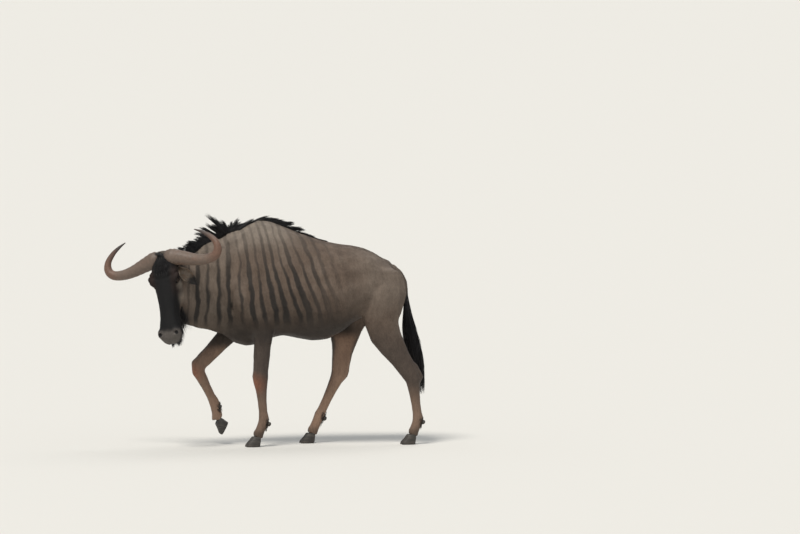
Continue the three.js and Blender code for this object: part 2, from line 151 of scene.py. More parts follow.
class Colours(bpy.types.PropertyGroup):
    """Colours of the coat, the hair, the horn and the eyes."""

    hide: colour_setting("Hide", "Grey-brown of the trunk", (0.125, 0.089, 0.067))
    stripe: colour_setting("Stripe", "Upright dark stripes", (0.030, 0.026, 0.023))
    # Crest: a pale tone, used as painted sunlight on the top of the neck and withers, and for pale
    # patches of hair elsewhere
    crest: colour_setting("Crest", "Pale hair along the back", (0.245, 0.205, 0.168))
    # Belly: painted shade under the trunk, also laid on the legs just above the hooves
    belly: colour_setting("Belly", "Underside", (0.034, 0.027, 0.023))
    leg: colour_setting("Leg", "Outside of the legs", (0.070, 0.052, 0.042))
    inner_leg: colour_setting("Inner leg", "Inside of the legs", (0.300, 0.190, 0.130))
    rust: colour_setting("Rust", "Front of the carpus", (0.260, 0.105, 0.060))
    face: colour_setting("Face", "Black of the face", (0.0065, 0.0062, 0.0066))
    muzzle: colour_setting("Muzzle", "Grey of the nose pad", (0.090, 0.078, 0.070))
    ear: colour_setting("Ear", "Tan of the ears", (0.210, 0.145, 0.100))
    hair: colour_setting("Hair", "Mane, beard and tail", (0.0075, 0.0065, 0.0075))
    horn: colour_setting("Horn", "Shaft of the horns", (0.142, 0.100, 0.076))
    horn_bend: colour_setting("Horn bend", "Bend of the horns", (0.155, 0.078, 0.050))
    horn_tip: colour_setting("Horn tip", "Tips of the horns", (0.060, 0.046, 0.042))
    hoof: colour_setting("Hoof", "Hooves", (0.035, 0.030, 0.026))
    eye: colour_setting("Eye", "Iris of the eyes", (0.016, 0.0075, 0.0045))


def sizes():
    return bpy.context.scene.wildebeest_sizes


def colours():
    return bpy.context.scene.wildebeest_colours


# Places and regions


def stance(points):
    """Points of the model frame in the stance frame."""
    return points - SHIFT_ROW


def on_head_all(points):
    """Points of the model frame in the head's own frame."""
    return (stance(points) - POLL_ROW) @ HEAD_ROWS.T


def from_head(local):
    """Points of the head's own frame in the model frame."""
    return local @ HEAD_ROWS + POLL_ROW + SHIFT_ROW


def ease(low, high, value):
    """0 at low, 1 at high, with a soft start and end."""
    t = np.clip((value - low) / (high - low), 0, 1)
    return t * t * (3 - 2 * t)


def head_share(points):
    """1 on the head, 0 on the neck and beyond."""
    return ease(-0.05, 0.03, (stance(points) - np.array(NAPE)) @ AHEAD)


def leg_share(points):
    """1 on the lower legs, 0 on the trunk."""
    return ease(0.70, 0.52, stance(points)[:, 2]) * (1 - head_share(points))


def unit(vectors):
    """The vectors, each made one long."""
    return vectors / np.maximum(np.linalg.norm(vectors, axis=1, keepdims=True), 1e-9)


# The way that the hair points on the trunk, the rump and the legs. On the head it is the nose's.
TRUNK_LIE = np.array((0.80, 0, -0.60))
RUMP_LIE = np.array((0.35, 0, -0.94))
LEG_LIE = np.array((0.08, 0, -1.0))


def lie_of_coat(points, normals):
    """The way that the hair points, along the skin."""
    head = head_share(points)[:, None]
    leg = leg_share(points)[:, None]
    rear = ease(0.25, 0.60, stance(points)[:, 0])[:, None]
    flow = TRUNK_LIE * (1 - rear) + RUMP_LIE * rear
    flow = flow * (1 - leg) + LEG_LIE * leg
    flow = flow * (1 - head) + NOSE_ROW * head
    return unit(flow - normals * np.sum(flow * normals, axis=1, keepdims=True))


# Mesh helpers


def smooth_shaded(mesh):
    mesh.polygons.foreach_set("use_smooth", np.ones(len(mesh.polygons), bool))


def mesh_object(name, mesh, material=None):
    """A piece made of a mesh or a bmesh, which rides on the one body."""
    if isinstance(mesh, bmesh.types.BMesh):
        mesh = mesh_from(mesh, name)
    made = bpy.data.objects.new(name, mesh)
    bpy.context.scene.collection.objects.link(made)
    smooth_shaded(mesh)
    if material:
        mesh.materials.append(material)
    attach(made, "root")
    return made


def mesh_from(bm, name):
    mesh = bpy.data.meshes.new(name)
    bm.to_mesh(mesh)
    bm.free()
    return mesh


def listed(collection, attribute, width, kind=np.float32):
    """An attribute of a mesh's points, edges or triangles as rows of an array."""
    values = np.zeros(len(collection) * width, kind)
    collection.foreach_get(attribute, values)
    return values.reshape(-1, width)


def coordinates(mesh):
    return listed(mesh.vertices, "co", 3).astype(float)


def vertex_normals(mesh):
    return listed(mesh.vertex_normals, "vector", 3).astype(float)


def set_coordinates(mesh, co):
    mesh.vertices.foreach_set("co", co.astype(np.float32).ravel())
    mesh.update()


def finished(obj):
    """The object's mesh with its modifiers applied, in place of the old one."""
    graph = bpy.context.evaluated_depsgraph_get()
    mesh = bpy.data.meshes.new_from_object(obj.evaluated_get(graph))
    obj.modifiers.clear()
    old, obj.data = obj.data, mesh
    bpy.data.meshes.remove(old)
    return mesh


# The steps in and out when a surface is evened out, and how much of the way out is lost where loose
STEP_IN, STEP_OUT, STEP_LOST = 0.55, -0.52, 0.30


def smoothed(co, edges, strength, rounds, loose=0.0):
    """Evens out a surface by a step in and a step out, which is smaller where it is loose."""
    count = np.bincount(edges.ravel(), minlength=len(co))[:, None]
    a, b = edges[:, 0], edges[:, 1]
    for k in range(rounds * 2):
        total = np.stack(
            [
                np.bincount(a, co[b, i], len(co)) + np.bincount(b, co[a, i], len(co))
                for i in range(3)
            ],
            axis=1,
        )
        step = STEP_IN if k % 2 == 0 else STEP_OUT + STEP_LOST * loose
        co = co + (total / count - co) * (strength * step)[:, None]
    return co


def between(rows, t):
    """Values on a smooth curve through the rows of a table, for many t from 0 to 1."""
    rows = np.array(rows, float)
    last = len(rows) - 1
    place = np.clip(t, 0, 1) * last
    i = np.minimum(place.astype(int), last - 1)
    s = (place - i)[:, None]
    a, b = rows[np.maximum(i - 1, 0)], rows[i]
    c, d = rows[i + 1], rows[np.minimum(i + 2, last)]
    low, high = (c - a) / 2, (d - b) / 2
    return b + s * (low + s * (3 * (c - b) - 2 * low - high + s * (2 * (b - c) + low + high)))


# Shader maths


class Maths:
    """Wraps a value socket so that shader maths reads as Python."""

    def __init__(self, shader, socket):
        self.shader, self.socket = shader, socket

    def _with(self, operation, *others):
        return self.shader.value("ShaderNodeMath", {"operation": operation}, [self, *others])

    def __add__(self, other):
        return self._with("ADD", other)

    def __sub__(self, other):
        return self._with("SUBTRACT", other)

    def __mul__(self, other):
        return self._with("MULTIPLY", other)

    def __truediv__(self, other):
        return self._with("DIVIDE", other)

    def __rsub__(self, other):
        return self.shader.value("ShaderNodeMath", {"operation": "SUBTRACT"}, [other, self])

    def __neg__(self):
        return self * -1.0

    __radd__ = __add__
    __rmul__ = __mul__

    def most(self, other):
        return self._with("MAXIMUM", other)

    def sine(self):
        return self._with("SINE")


class Shader:
    """A material and the few ways that its nodes are added."""

    def __init__(self, name):
        self.material = bpy.data.materials.new(name)
        self.material.use_nodes = True
        self.tree = self.material.node_tree
        self.surface = self.tree.nodes["Principled BSDF"]

    def node(self, kind, settings=None, inputs=()):
        made = self.tree.nodes.new(kind)
        for key, setting in (settings or {}).items():
            setattr(made, key, setting)
        pairs = inputs.items() if isinstance(inputs, dict) else enumerate(inputs)
        for key, given in pairs:
            given = given.socket if isinstance(given, Maths) else given
            if isinstance(given, bpy.types.NodeSocket):
                self.tree.links.new(given, made.inputs[key])
            elif given is not None:
                made.inputs[key].default_value = given
        return made

    def value(self, kind, settings=None, inputs=(), output=0):
        return Maths(self, self.node(kind, settings, inputs).outputs[output])

    def place(self):
        """The point's coordinates in the stance frame."""
        co = self.node("ShaderNodeTexCoord").outputs["Object"]
        moved = self.node(
            "ShaderNodeVectorMath", {"operation": "SUBTRACT"}, [co, tuple(SHIFT)]
        )
        return moved.outputs[0]

    def axes(self, vector):
        parts = self.node("ShaderNodeSeparateXYZ", {}, [vector])
        return [Maths(self, parts.outputs[i]) for i in range(3)]

    def along(self, vector, way, origin):
        """How far the point lies along a direction from an origin."""
        dot = self.value(
            "ShaderNodeVectorMath", {"operation": "DOT_PRODUCT"}, [vector, tuple(way)], 1
        )
        return dot - float(Vector(way).dot(Vector(origin)))

    def near(self, vector, point, radius):
        """1 at a point, falling to 0 at the radius."""
        far = self.value(
            "ShaderNodeVectorMath", {"operation": "DISTANCE"}, [vector, tuple(point)], 1
        )
        return self.ease(far, radius, 0.0)

    def ease(self, value, low, high, to_low=0.0, to_high=1.0):
        return self.value(
            "ShaderNodeMapRange",
            {"interpolation_type": "SMOOTHSTEP", "clamp": True},
            [value, low, high, to_low, to_high],
        )

    def noise(self, vector, scale, detail=3.0, roughness=0.5, stretch=None, distortion=0.0):
        if stretch:
            vector = self.node(
                "ShaderNodeVectorMath", {"operation": "MULTIPLY"}, [vector, stretch]
            ).outputs[0]
        return self.value(
            "ShaderNodeTexNoise",
            {},
            {
                "Vector": vector,
                "Scale": scale,
                "Detail": detail,
                "Roughness": roughness,
                "Distortion": distortion,
            },
        )

    def mix(self, share, first, second):
        """Two colours mixed by a share."""

        def socket(c):
            return c if isinstance(c, bpy.types.NodeSocket) else (*c, 1.0)

        made = self.node(
            "ShaderNodeMix",
            {"data_type": "RGBA", "clamp_factor": True},
            {0: share, 6: socket(first), 7: socket(second)},
        )
        return made.outputs[2]

    def shade(self, colour, amount):
        """A colour made lighter or darker by a value near 1."""
        grey = self.node("ShaderNodeCombineXYZ", {}, [amount, amount, amount])
        made = self.node(
            "ShaderNodeVectorMath", {"operation": "MULTIPLY"}, [colour, grey.outputs[0]]
        )
        return made.outputs[0]

    def layered(self, colour, *layers):
        """A colour under layers, each a share and a colour."""
        for share, tone in layers:
            colour = self.mix(share, colour, tone)
        return colour

    def finish(self, colour, roughness, bump=None, depth=0.001, strength=1.0, specular=None):
        """The material, with a colour, and a roughness that is a number or varies."""
        surface = self.surface.inputs
        self.tree.links.new(colour, surface["Base Color"])
        if isinstance(roughness, Maths):
            self.tree.links.new(roughness.socket, surface["Roughness"])
        else:
            surface["Roughness"].default_value = roughness
        if specular is not None:
            surface["Specular IOR Level"].default_value = specular
        if bump is not None:
            made = self.node(
                "ShaderNodeBump", {}, {"Strength": strength, "Distance": depth, "Height": bump}
            )
            self.tree.links.new(made.outputs[0], surface["Normal"])
        return self.material


# Width of a stripe with its gap, and the front of the carpus, from its middle
STRIPE_SPACING = 0.067
CARPUS_FRONT = Vector((-0.030, 0, -0.03))
# Dark rim round the eyes, and the nostrils' colour, which is painted shade inside them
EYE_RIM, NOSTRIL_SHADE = (0.006, 0.005, 0.005), (0.004, 0.003, 0.003)
# Stretches of a noise that make its grain run down the body
LONG_GRAIN, LONGER_GRAIN = (1.0, 1.0, 0.30), (1.0, 1.0, 0.28)


def trunk_colour(s, x, z, drift, patch, streak):
    """The grey-brown hide, paler along the back with painted sunlight, with stripes on the neck and
    the ribs, and painted shade darkening its lower part.
    """
    c = colours()
    # The stripes lean forward at the top, broaden low on the ribs and fade at the top and the rear
    lean = (z - 0.78) * s.ease(x, -0.50, -0.05) * 0.34
    phase = (x + lean + drift * 0.105 + patch * 0.026) * (2 * math.pi / STRIPE_SPACING)
    wave = phase.sine() + (phase * 0.41 + 1.1).sine() * 0.40 + streak * 1.7
    broad = s.ease(z, 1.15, 0.85) * s.ease(x, -0.45, -0.10) * 0.55
    reach = s.ease(x, 0.34, 0.02) * s.ease(z, 0.70, 0.80)
    fade = s.ease(z + drift * 0.25, 1.38, 1.02) * 0.62 + 0.38
    soft = s.ease(x, 0.20, -0.10) * 0.40 + 0.60
    stripe = s.ease(wave + broad, -0.15, 1.05) * reach * fade * soft
    # Painted sunlight: the top of the neck and the withers lightened towards the crest's pale tone
    sunny = s.ease(z, 1.14, 1.36) * s.ease(x, 0.1, -0.25)
    colour = s.layered(
        c.hide,
        (sunny * 0.95, c.crest),
        (s.ease(patch, -0.15, 0.30) * 0.22, c.crest),
        (s.ease(x, -0.30, -0.60) * 0.30, c.crest),
        (s.ease(drift, 0.05, -0.25) * s.ease(x, -0.1, 0.30) * 0.25, c.leg),
        (s.ease(x, 0.22, 0.45) * s.ease(z, 0.72, 0.95) * 0.30, c.crest),
        (stripe * 0.95, c.stripe),
    )
    # Painted shade: the trunk darkens from the back down towards the belly, except over the
    # hindquarters
    low = s.ease(z + drift * 0.1, 0.72, 1.02).most(s.ease(x, 0.25, 0.40))
    return s.shade(colour, low * 0.38 + 0.64)


def lower_colour(s, at, x, side, z, drift, patch, colour):
    """Over the trunk's colour: painted shade that darkens the belly, brown legs, paler inside, with
    rusty carpi, and darker just above the hooves.
    """
    c = colours()
    belly_line = s.ease(x, -0.1, 0.35) * 0.05 + 0.725
    # Painted shade under the belly, in the belly colour
    under = s.ease(z + drift * 0.06 - belly_line, 0.11, -0.06)
    under = under * s.ease(x, -0.62, -0.40) * s.ease(x, 0.40, 0.30)
    leg = s.ease(z + patch * 0.10, 0.78, 0.56)
    leg = leg * s.ease(x, 0.30, 0.42).most(s.ease(z, 0.72, 0.60))
    inner = s.ease(side + patch * 0.03, 0.128, 0.100)
    groin = s.ease(x, 0.14, 0.22) * s.ease(z, 0.70, 0.62)
    inner = inner * s.ease(z, 0.63, 0.57).most(groin)
    inner = inner * s.ease(x, -0.32, -0.22).most(s.ease(x, -0.42, -0.46) * 0.7)
    shin = s.ease(z + patch * 0.08, 0.40, 0.24)
    return s.layered(
        colour,
        (under * 0.92, c.belly),
        (leg * 0.90, c.leg),
        (inner * 0.92, c.inner_leg),
        (shin * 0.45, c.inner_leg),
        *[(s.near(at, carpus + CARPUS_FRONT, 0.095) * 0.95, c.rust) for carpus in CARPI],
        (s.ease(z, 0.13, 0.06) * 0.6, c.belly),
    )


def head_colour(s, at, patch):
    """The black face with its pale cheek, the grey muzzle, and painted shade inside the nostrils.
    """
    c = colours()
    hx, hy, hz = (s.along(at, way, POLL) for way in (NOSE, LEFT, BROW))

    def both(x, y, z, radius):
        """1 at a place on each side of the head, falling to 0 at the radius."""
        return s.near(at, on_head(x, y, z), radius).most(s.near(at, on_head(x, -y, z), radius))

    cheek = s.ease(hz + patch * 0.05, -0.088, -0.125) * s.ease(hx + patch * 0.1, 0.38, 0.27)
    brown = s.ease(hy.most(-hy), 0.035, 0.075) * s.ease(hx, 0.05, 0.12) * s.ease(hx, 0.30, 0.20)
    pad = s.ease(hx + patch * 0.06, 0.455, 0.490) * s.ease(hz + patch * 0.03, -0.074, -0.050)
    return s.layered(
        c.face,
        (cheek * 0.92, c.hide),
        (both(0.255, 0.080, -0.125, 0.075) * 0.75, c.crest),
        (brown * 0.05, c.rust),
        (both(0.185, 0.083, -0.075, 0.052) * 0.70, c.crest),
        (s.ease(both(*EYE_PLACE, 0.042), 0.05, 0.5) * 0.85, EYE_RIM),
        (pad, c.muzzle),
        # Painted shade inside the nostrils
        (s.ease(both(0.491, 0.056, -0.020, 0.019), 0.15, 0.5), NOSTRIL_SHADE),
    )


def coat_colour(s, at):
    """The coat's markings at a point, shared by the skin and the tufts."""
    x, y, z = s.axes(at)
    side = y.most(-y)
    drift = s.noise(at, 3.2, 3.0) - 0.5
    patch = s.noise(at, 9.0, 4.0, 0.6) - 0.5
    streak = s.noise(at, 30.0, 4.0, 0.7, LONGER_GRAIN) - 0.5
    fleck = s.noise(at, 210.0, 3.0, 0.7, LONG_GRAIN) - 0.5
    colour = trunk_colour(s, x, z, drift, patch, streak)
    colour = lower_colour(s, at, x, side, z, drift, patch, colour)
    head = s.ease(s.along(at, AHEAD, NAPE) + patch * 0.05, -0.045, 0.03)
    dock = s.ease(x, 0.640, 0.655) * s.ease(z, 1.00, 0.90) * s.ease(z, 0.66, 0.74)
    above = s.ease(x, 0.600, 0.655) * s.ease(side, 0.05, 0.02) * s.ease(z, 0.90, 0.97)
    dock = dock.most(above * 0.5)
    colour = s.layered(colour, (head, head_colour(s, at, patch)), (dock * 0.8, colours().hair))
    return s.shade(colour, streak * 0.75 + patch * 0.40 + fleck * 0.85 + 1.0)


# Second colours of the hair, the hooves and the eyes
HAIR_LIGHT, HOOF_LIGHT = (0.055, 0.047, 0.044), (0.11, 0.095, 0.078)
PUPIL_BLACK, EYE_EDGE = (0.003, 0.003, 0.004), (0.02, 0.014, 0.012)


def skin_material():
    s = Shader("Wildebeest skin")
    at = s.place()
    hair = s.noise(at, 260.0, 3.0, 0.6, (1.0, 1.0, 0.22))
    folds = s.noise(at, 16.0, 3.0, 0.5, (1.0, 1.0, 0.35))
    rough = s.ease(s.along(at, NOSE, POLL), 0.45, 0.50, 0.75, 0.50)
    height = hair * 0.6 + folds * 1.2
    return s.finish(coat_colour(s, at), rough, height, 0.0030, 0.8, specular=0.25)


def tuft_material():
    s = Shader("Wildebeest coat")
    return s.finish(coat_colour(s, s.place()), 0.68, specular=0.22)


def hair_material(name="Black hair", tone=None):
    s = Shader(name)
    light = s.noise(s.place(), 160.0, 2.0, 0.6, (1.0, 1.0, 0.15))
    tone = s.mix(s.ease(light, 0.50, 0.78) * 0.5, tone or colours().hair, HAIR_LIGHT)
    return s.finish(tone, 0.48, specular=0.45)


def horn_material():
    c = colours()
    s = Shader("Horn")
    at = s.place()
    along = s.value("ShaderNodeAttribute", {"attribute_name": "along_horn"}, (), 2)
    grain = s.noise(at, 70.0, 4.0, 0.7)
    blotch = s.noise(at, 16.0, 3.0, 0.6)
    shaft = s.layered(
        c.horn,
        (s.ease(along, 0.38, 0.56) * 0.8, c.horn_bend),
        (s.ease(along, 0.66, 0.92), c.horn_tip),
        (s.ease(along, 0.12, 0.0) * 0.6, c.horn_tip),
        (s.ease(blotch, 0.50, 0.72) * 0.35, c.horn_bend),
    )
    tone = s.shade(shaft, grain + 0.50)
    return s.finish(tone, grain * 0.25 + 0.42, grain + blotch * 0.6, 0.0022, 0.8)


def hoof_material():
    s = Shader("Hoof")
    ring = s.noise(s.place(), 60.0, 3.0, 0.6, (0.3, 0.3, 2.4))
    tone = s.mix(s.ease(ring, 0.40, 0.72) * 0.6, colours().hoof, HOOF_LIGHT)
    return s.finish(tone, ring * 0.3 + 0.40, ring, 0.0012, 0.6)


def eye_material():
    s = Shader("Eye")
    out = s.value("ShaderNodeAttribute", {"attribute_name": "pupil"}, (), 2)
    pupil, edge = s.ease(out, 0.30, 0.42), s.ease(out, 0.80, 0.98)
    tone = s.layered(PUPIL_BLACK, (pupil, colours().eye), (edge, EYE_EDGE))
    return s.finish(tone, 0.13, specular=0.16)


# Skin

# Points closer than this are one, and how far the flesh swells to close the cuts
SAME_PLACE, CUT_OVERLAP = 1e-5, 0.0012


def joined_flesh():
    """The flesh nodes as one mesh of closed shells that overlap a little at their cuts."""
    whole = bmesh.new()
    for name in FLESH:
        part = bmesh.new()
        part.from_mesh(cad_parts[name].data)
        bmesh.ops.remove_doubles(part, verts=part.verts, dist=SAME_PLACE)
        bmesh.ops.recalc_face_normals(part, faces=part.faces)
        part.normal_update()
        for v in part.verts:
            v.co += v.normal * CUT_OVERLAP
        mesh = mesh_from(part, "part")
        whole.from_mesh(mesh)
        bpy.data.meshes.remove(mesh)
    return mesh_from(whole, "skin")


# Forms of the body, the same on both sides, in the stance frame: [place, reach, height]
BODY_FORMS = {
    "shoulder blade": [(-0.29, 0.20, 1.13), (0.045, 0.12, 0.16), 0.010],
    "point of the shoulder": [(-0.40, 0.20, 0.90), (0.07, 0.10, 0.07), 0.010],
    "elbow": [(-0.20, 0.20, 0.78), (0.035, 0.10, 0.05), 0.010],
    "hollow behind the elbow": [(-0.13, 0.24, 0.86), (0.05, 0.10, 0.12), -0.010],
    "hollow before the blade": [(-0.36, 0.20, 1.05), (0.03, 0.12, 0.12), -0.006],
    "point of the hip": [(0.40, 0.19, 1.12), (0.05, 0.09, 0.05), 0.012],
    "hollow of the flank": [(0.31, 0.24, 1.02), (0.07, 0.10, 0.09), -0.014],
    "thigh": [(0.50, 0.20, 0.90), (0.09, 0.10, 0.14), 0.010],
    "root of the tail": [(0.560, 0.0, 1.115), (0.045, 0.08, 0.035), 0.016],
    "belly's underside": [(0.10, 0.06, 0.655), (0.22, 0.15, 0.05), 0.014],
    "groove of the thigh": [(0.60, 0.17, 0.86), (0.02, 0.10, 0.12), -0.005],
}
# Forms of the face, in the head's frame
FACE_FORMS = {
    "brow": [(EYE_PLACE.x - 0.030, 0.088, EYE_PLACE.z + 0.012), (0.028, 0.03, 0.020), 0.006],
    "tear groove": [(EYE_PLACE.x + 0.062, 0.075, -0.045), (0.030, 0.03, 0.014), -0.004],
    "bridge of the nose": [(0.300, 0.0, -0.005), (0.10, 0.022, 0.03), 0.004],
    "hollow of the cheek": [(0.330, 0.064, -0.060), (0.10, 0.03, 0.030), -0.006],
    "wing of the nostril": [(0.500, 0.052, -0.028), (0.024, 0.026, 0.022), 0.005],
    "nostril": [(0.492, 0.056, -0.014), (0.013, 0.02, 0.0085), -0.010],
}
RIB_SPACING, RIB_HEIGHT = 0.062, 0.0026
FOLD_SPACING, FOLD_HEIGHT = 0.088, 0.0045
# Rings round the eye: [radius, width]
EYELID, LID_FOLD, OUTER_FOLD = (0.0245, 0.0065), (0.0385, 0.0045), (0.050, 0.008)
# How far the mouth line lies under the head's axis, and the lines of the mouth and the cleft lip
MOUTH_DROP = 0.088
MOUTH_LINE, CLEFT = (0.0, 0.0042), (0.0, 0.004)


def add_forms(move, places, table):
    """Adds a table of soft swellings and hollows to how far each place moves out."""
    for place, reach, height in table.values():
        off = (places - np.array(place)) / np.array(reach)
        move += height * np.exp(-np.sum(off * off, axis=1))
    return move


def ridge(values, line):
    """1 on a line, given by its place and width, and 0 away from it."""
    return np.exp(-(((values - line[0]) / line[1]) ** 2))


def mirrored(places):
    return np.stack([places[:, 0], np.abs(places[:, 1]), places[:, 2]], axis=1)


def face_forms(points):
    """How far the face moves out: lids, brow, cheeks, nostrils and mouth."""
    head = on_head_all(points)
    x, side, z = mirrored(head).T
    back = x - EYE_PLACE.x
    ring = np.hypot(back / 1.18, z - EYE_PLACE.z)
    fold = ease(0.010, -0.016, back)
    move = ridge(ring, EYELID) * 0.0050 * (ease(0.012, -0.012, back) * 0.5 + 0.5)
    move -= ridge(ring, LID_FOLD) * (0.0016 + 0.0030 * fold)
    move += ridge(ring, OUTER_FOLD) * 0.0026 * fold
    move *= ease(0.115, 0.085, np.abs(side - EYE_PLACE.y))
    move = add_forms(move, mirrored(head), FACE_FORMS)
    mouth = z + MOUTH_DROP + 0.02 * ease(0.50, 0.42, x)
    move -= ridge(mouth, MOUTH_LINE) * ease(0.415, 0.45, x) * 0.0052
    return move - ridge(head[:, 1], CLEFT) * ease(0.50, 0.53, x) * 0.003


def sculpt(points):
    """How far the surface moves out at each point: muscles, bones and folds."""
    w = stance(points)
    x, _, z = w.T
    head = head_share(points)
    move = add_forms(np.zeros(len(points)), mirrored(w), BODY_FORMS)
    ribs = np.sin((x + (z - 0.9) * 0.25) * 2 * np.pi / RIB_SPACING)
    zone = ease(-0.16, -0.02, x) * ease(0.30, 0.16, x) * ease(0.70, 0.80, z) * ease(1.16, 1.0, z)
    move += ribs * zone * RIB_HEIGHT
    folds = np.sin((x + 0.06 * np.sin(z * 7)) * 2 * np.pi / FOLD_SPACING)
    zone = ease(-0.32, -0.46, x) * (1 - head) * ease(0.70, 0.8, z)
    move += folds * zone * ease(1.25, 1.1, z) * FOLD_HEIGHT
    return move + face_forms(points) * head


# How far the ends of the legs are drawn down and in at the hooves
TOE_DOWN, TOE_IN = 0.010, 0.006


def reach_hooves(co):
    """Draws the ends of the legs down into the hooves, so that no gap shows above them."""
    for spot, rise in TOES:
        off, rise = stance(co) - np.array(spot), np.array(rise)
        height = off @ rise
        upright = height[:, None] * rise
        aside = np.linalg.norm(off - upright, axis=1)
        share = ease(0.030, 0.004, height) * ease(0.105, 0.085, aside)
        share = (share * ease(-0.05, -0.03, height))[:, None]
        co = co - rise * (share * TOE_DOWN) + unit(upright - off) * (share * TOE_IN)
    return co


def worn(co):
    """Where the form is rounded off most: tail root, raised carpus, brisket, belly and seat."""
    w = stance(co)
    tail_root = ease(0.24, 0.13, np.linalg.norm(w - np.array((0.590, 0, 1.05)), axis=1))
    carpus = ease(0.085, 0.05, np.linalg.norm(w - np.array(CARPI[1]), axis=1))
    floor = ease(0.80, 0.72, w[:, 2]) * ease(0.55, 0.62, w[:, 2]) * ease(0.34, 0.24, w[:, 0])
    floor = floor * ease(-0.70, -0.62, w[:, 0])
    seat = ease(0.50, 0.57, w[:, 0]) * ease(0.70, 0.76, w[:, 2]) * ease(1.02, 0.96, w[:, 2])
    return np.maximum.reduce([tail_root, carpus, floor, seat])


# Passes that even out the whole skin, and those that wear down the places named above
EVEN_ROUNDS, WORN_ROUNDS = 60, 90
# Steps in which the skin keeps more triangles towards the head and the legs
KEEP_STEPS = 5


def thinned(made, head, leg):
    """The skin with fewer triangles, most of them kept on the head and the legs."""
    keep = made.vertex_groups.new(name="less")
    fine = (np.maximum(head, 0.6 * leg) * (KEEP_STEPS - 0.001)).astype(int)
    for step in range(KEEP_STEPS):
        keep.add(np.nonzero(fine == step)[0].tolist(), 1.0 - step / KEEP_STEPS, "REPLACE")
    thin = made.modifiers.new("thin", "DECIMATE")
    thin.vertex_group = keep.name
    thin.vertex_group_factor = 1.0
    thin.ratio = min(1.0, sizes().skin_faces / (2 * len(made.data.polygons)))
    mesh = finished(made)
    made.vertex_groups.clear()
    return mesh


def build_skin():
    made = mesh_object("skin", joined_flesh())
    remesh = made.modifiers.new("one skin", "REMESH")
    remesh.mode = "VOXEL"
    remesh.voxel_size = sizes().voxel
    mesh = finished(made)
    co = coordinates(mesh)
    edges = listed(mesh.edges, "vertices", 2, np.int32)
    head, leg = head_share(co), leg_share(co)
    x, y, z = stance(co).T
    crest = ease(1.15, 1.25, z) * ease(0.12, 0.05, np.abs(y)) * ease(0.3, 0.1, x)
    loose = (1 - head) * (1 - 0.95 * leg) * (1 - crest)
    co = smoothed(co, edges, 1.0 - 0.55 * head - 0.25 * leg, EVEN_ROUNDS, loose)
    co = smoothed(co, edges, worn(co), WORN_ROUNDS, np.ones(len(co)))
    set_coordinates(mesh, co)
    normals = vertex_normals(mesh)
    depth = sizes().coat_depth * (1 - 0.55 * head) * (1 - leg)
    co = co + normals * (sculpt(co) - depth)[:, None]
    co = smoothed(co, edges, np.full(len(co), 0.5), 2)
    set_coordinates(mesh, reach_hooves(co))
    mesh = thinned(made, head, leg)
    made.name = mesh.name = "skin"
    smooth_shaded(mesh)
    mesh.materials.clear()
    mesh.materials.append(skin_material())
    unwrap(made)
    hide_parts(*FLESH)
    return made


def unwrap(obj):
    """An unwrap of a skin, which gives each tuft its place."""
    bpy.context.view_layer.objects.active = obj
    obj.select_set(True)
    bpy.ops.object.mode_set(mode="EDIT")
    bpy.ops.mesh.select_all(action="SELECT")
    bpy.ops.uv.smart_project(angle_limit=math.radians(66), island_margin=0.002)
    bpy.ops.object.mode_set(mode="OBJECT")
    obj.select_set(False)


class Ground:
    """A skin's triangles, for setting roots of hair on them."""

    def __init__(self, obj):
        mesh = obj.data
        mesh.calc_loop_triangles()
        triangles = mesh.loop_triangles
        corners = listed(triangles, "vertices", 3, np.int32)
        loops = listed(triangles, "loops", 3, np.int32)
        self.corners = coordinates(mesh)[corners]
        self.normals = vertex_normals(mesh)[corners]
        self.uv = listed(mesh.uv_layers.active.data, "uv", 2)[loops].mean(1)
        a = self.corners[:, 1] - self.corners[:, 0]
        b = self.corners[:, 2] - self.corners[:, 0]
        self.area = np.linalg.norm(np.cross(a, b), axis=1) / 2
        self.middle = self.corners.mean(1)

    def chosen(self, count, weight, rng):
        """Triangles drawn at random, by area and weight."""
        share = self.area * weight
        return rng.choice(len(share), size=count, p=share / share.sum())

    def roots(self, count, weight, rng):
        """Points, normals and places on the unwrap of many roots, spread by area and weight."""
        chosen = self.chosen(count, weight, rng)
        u, v = rng.random(count), rng.random(count)
        over = u + v > 1
        u[over], v[over] = 1 - u[over], 1 - v[over]
        bary = np.stack([1 - u - v, u, v], axis=1)[:, :, None]
        points = (self.corners[chosen] * bary).sum(1)
        normals = unit((self.normals[chosen] * bary).sum(1))
        return points, normals, self.uv[chosen]

    def closest(self, points):
        """The triangle whose middle is nearest each point, as a number in the lists above."""
        tree = KDTree(len(self.middle))
        for i, p in enumerate(self.middle):
            tree.insert(p, i)
        tree.balance()
        return [tree.find(p)[1] for p in points]


# Hair


SEEDS = {"coat": 40, "ear": 60, "mane": 70, "forelock": 75, "beard": 77, "fringe": 79, "tail": 81}


def seeded(kind, number=0):
    """The source of random numbers for one piece of hair, the same in each run."""
    return np.random.default_rng(SEEDS[kind] + number)


# Corners of a lock's cross-section, its taper, and half the size of its patch on the unwrap
CORNERS = np.array((np.pi / 6, 5 * np.pi / 6, 1.5 * np.pi))
TAPER, TAPER_POWER = 0.75, 1.7
HALF_PATCH = 0.0015


def lock_pattern(rings):
    """The triangles of one lock: an end, its sides from ring to ring, and its point."""
    faces = [(0, 1, 2)]
    for base in range(0, (rings - 1) * 3, 3):
        for i in range(3):
            here, following = base + i, base + (i + 1) % 3
            faces.append((following, here, following + 3))
            faces.append((following + 3, here, here + 3))
    top = (rings - 1) * 3
    faces += [(top + (i + 1) % 3, top + i, rings * 3) for i in range(3)]
    return np.array(faces, np.int32)


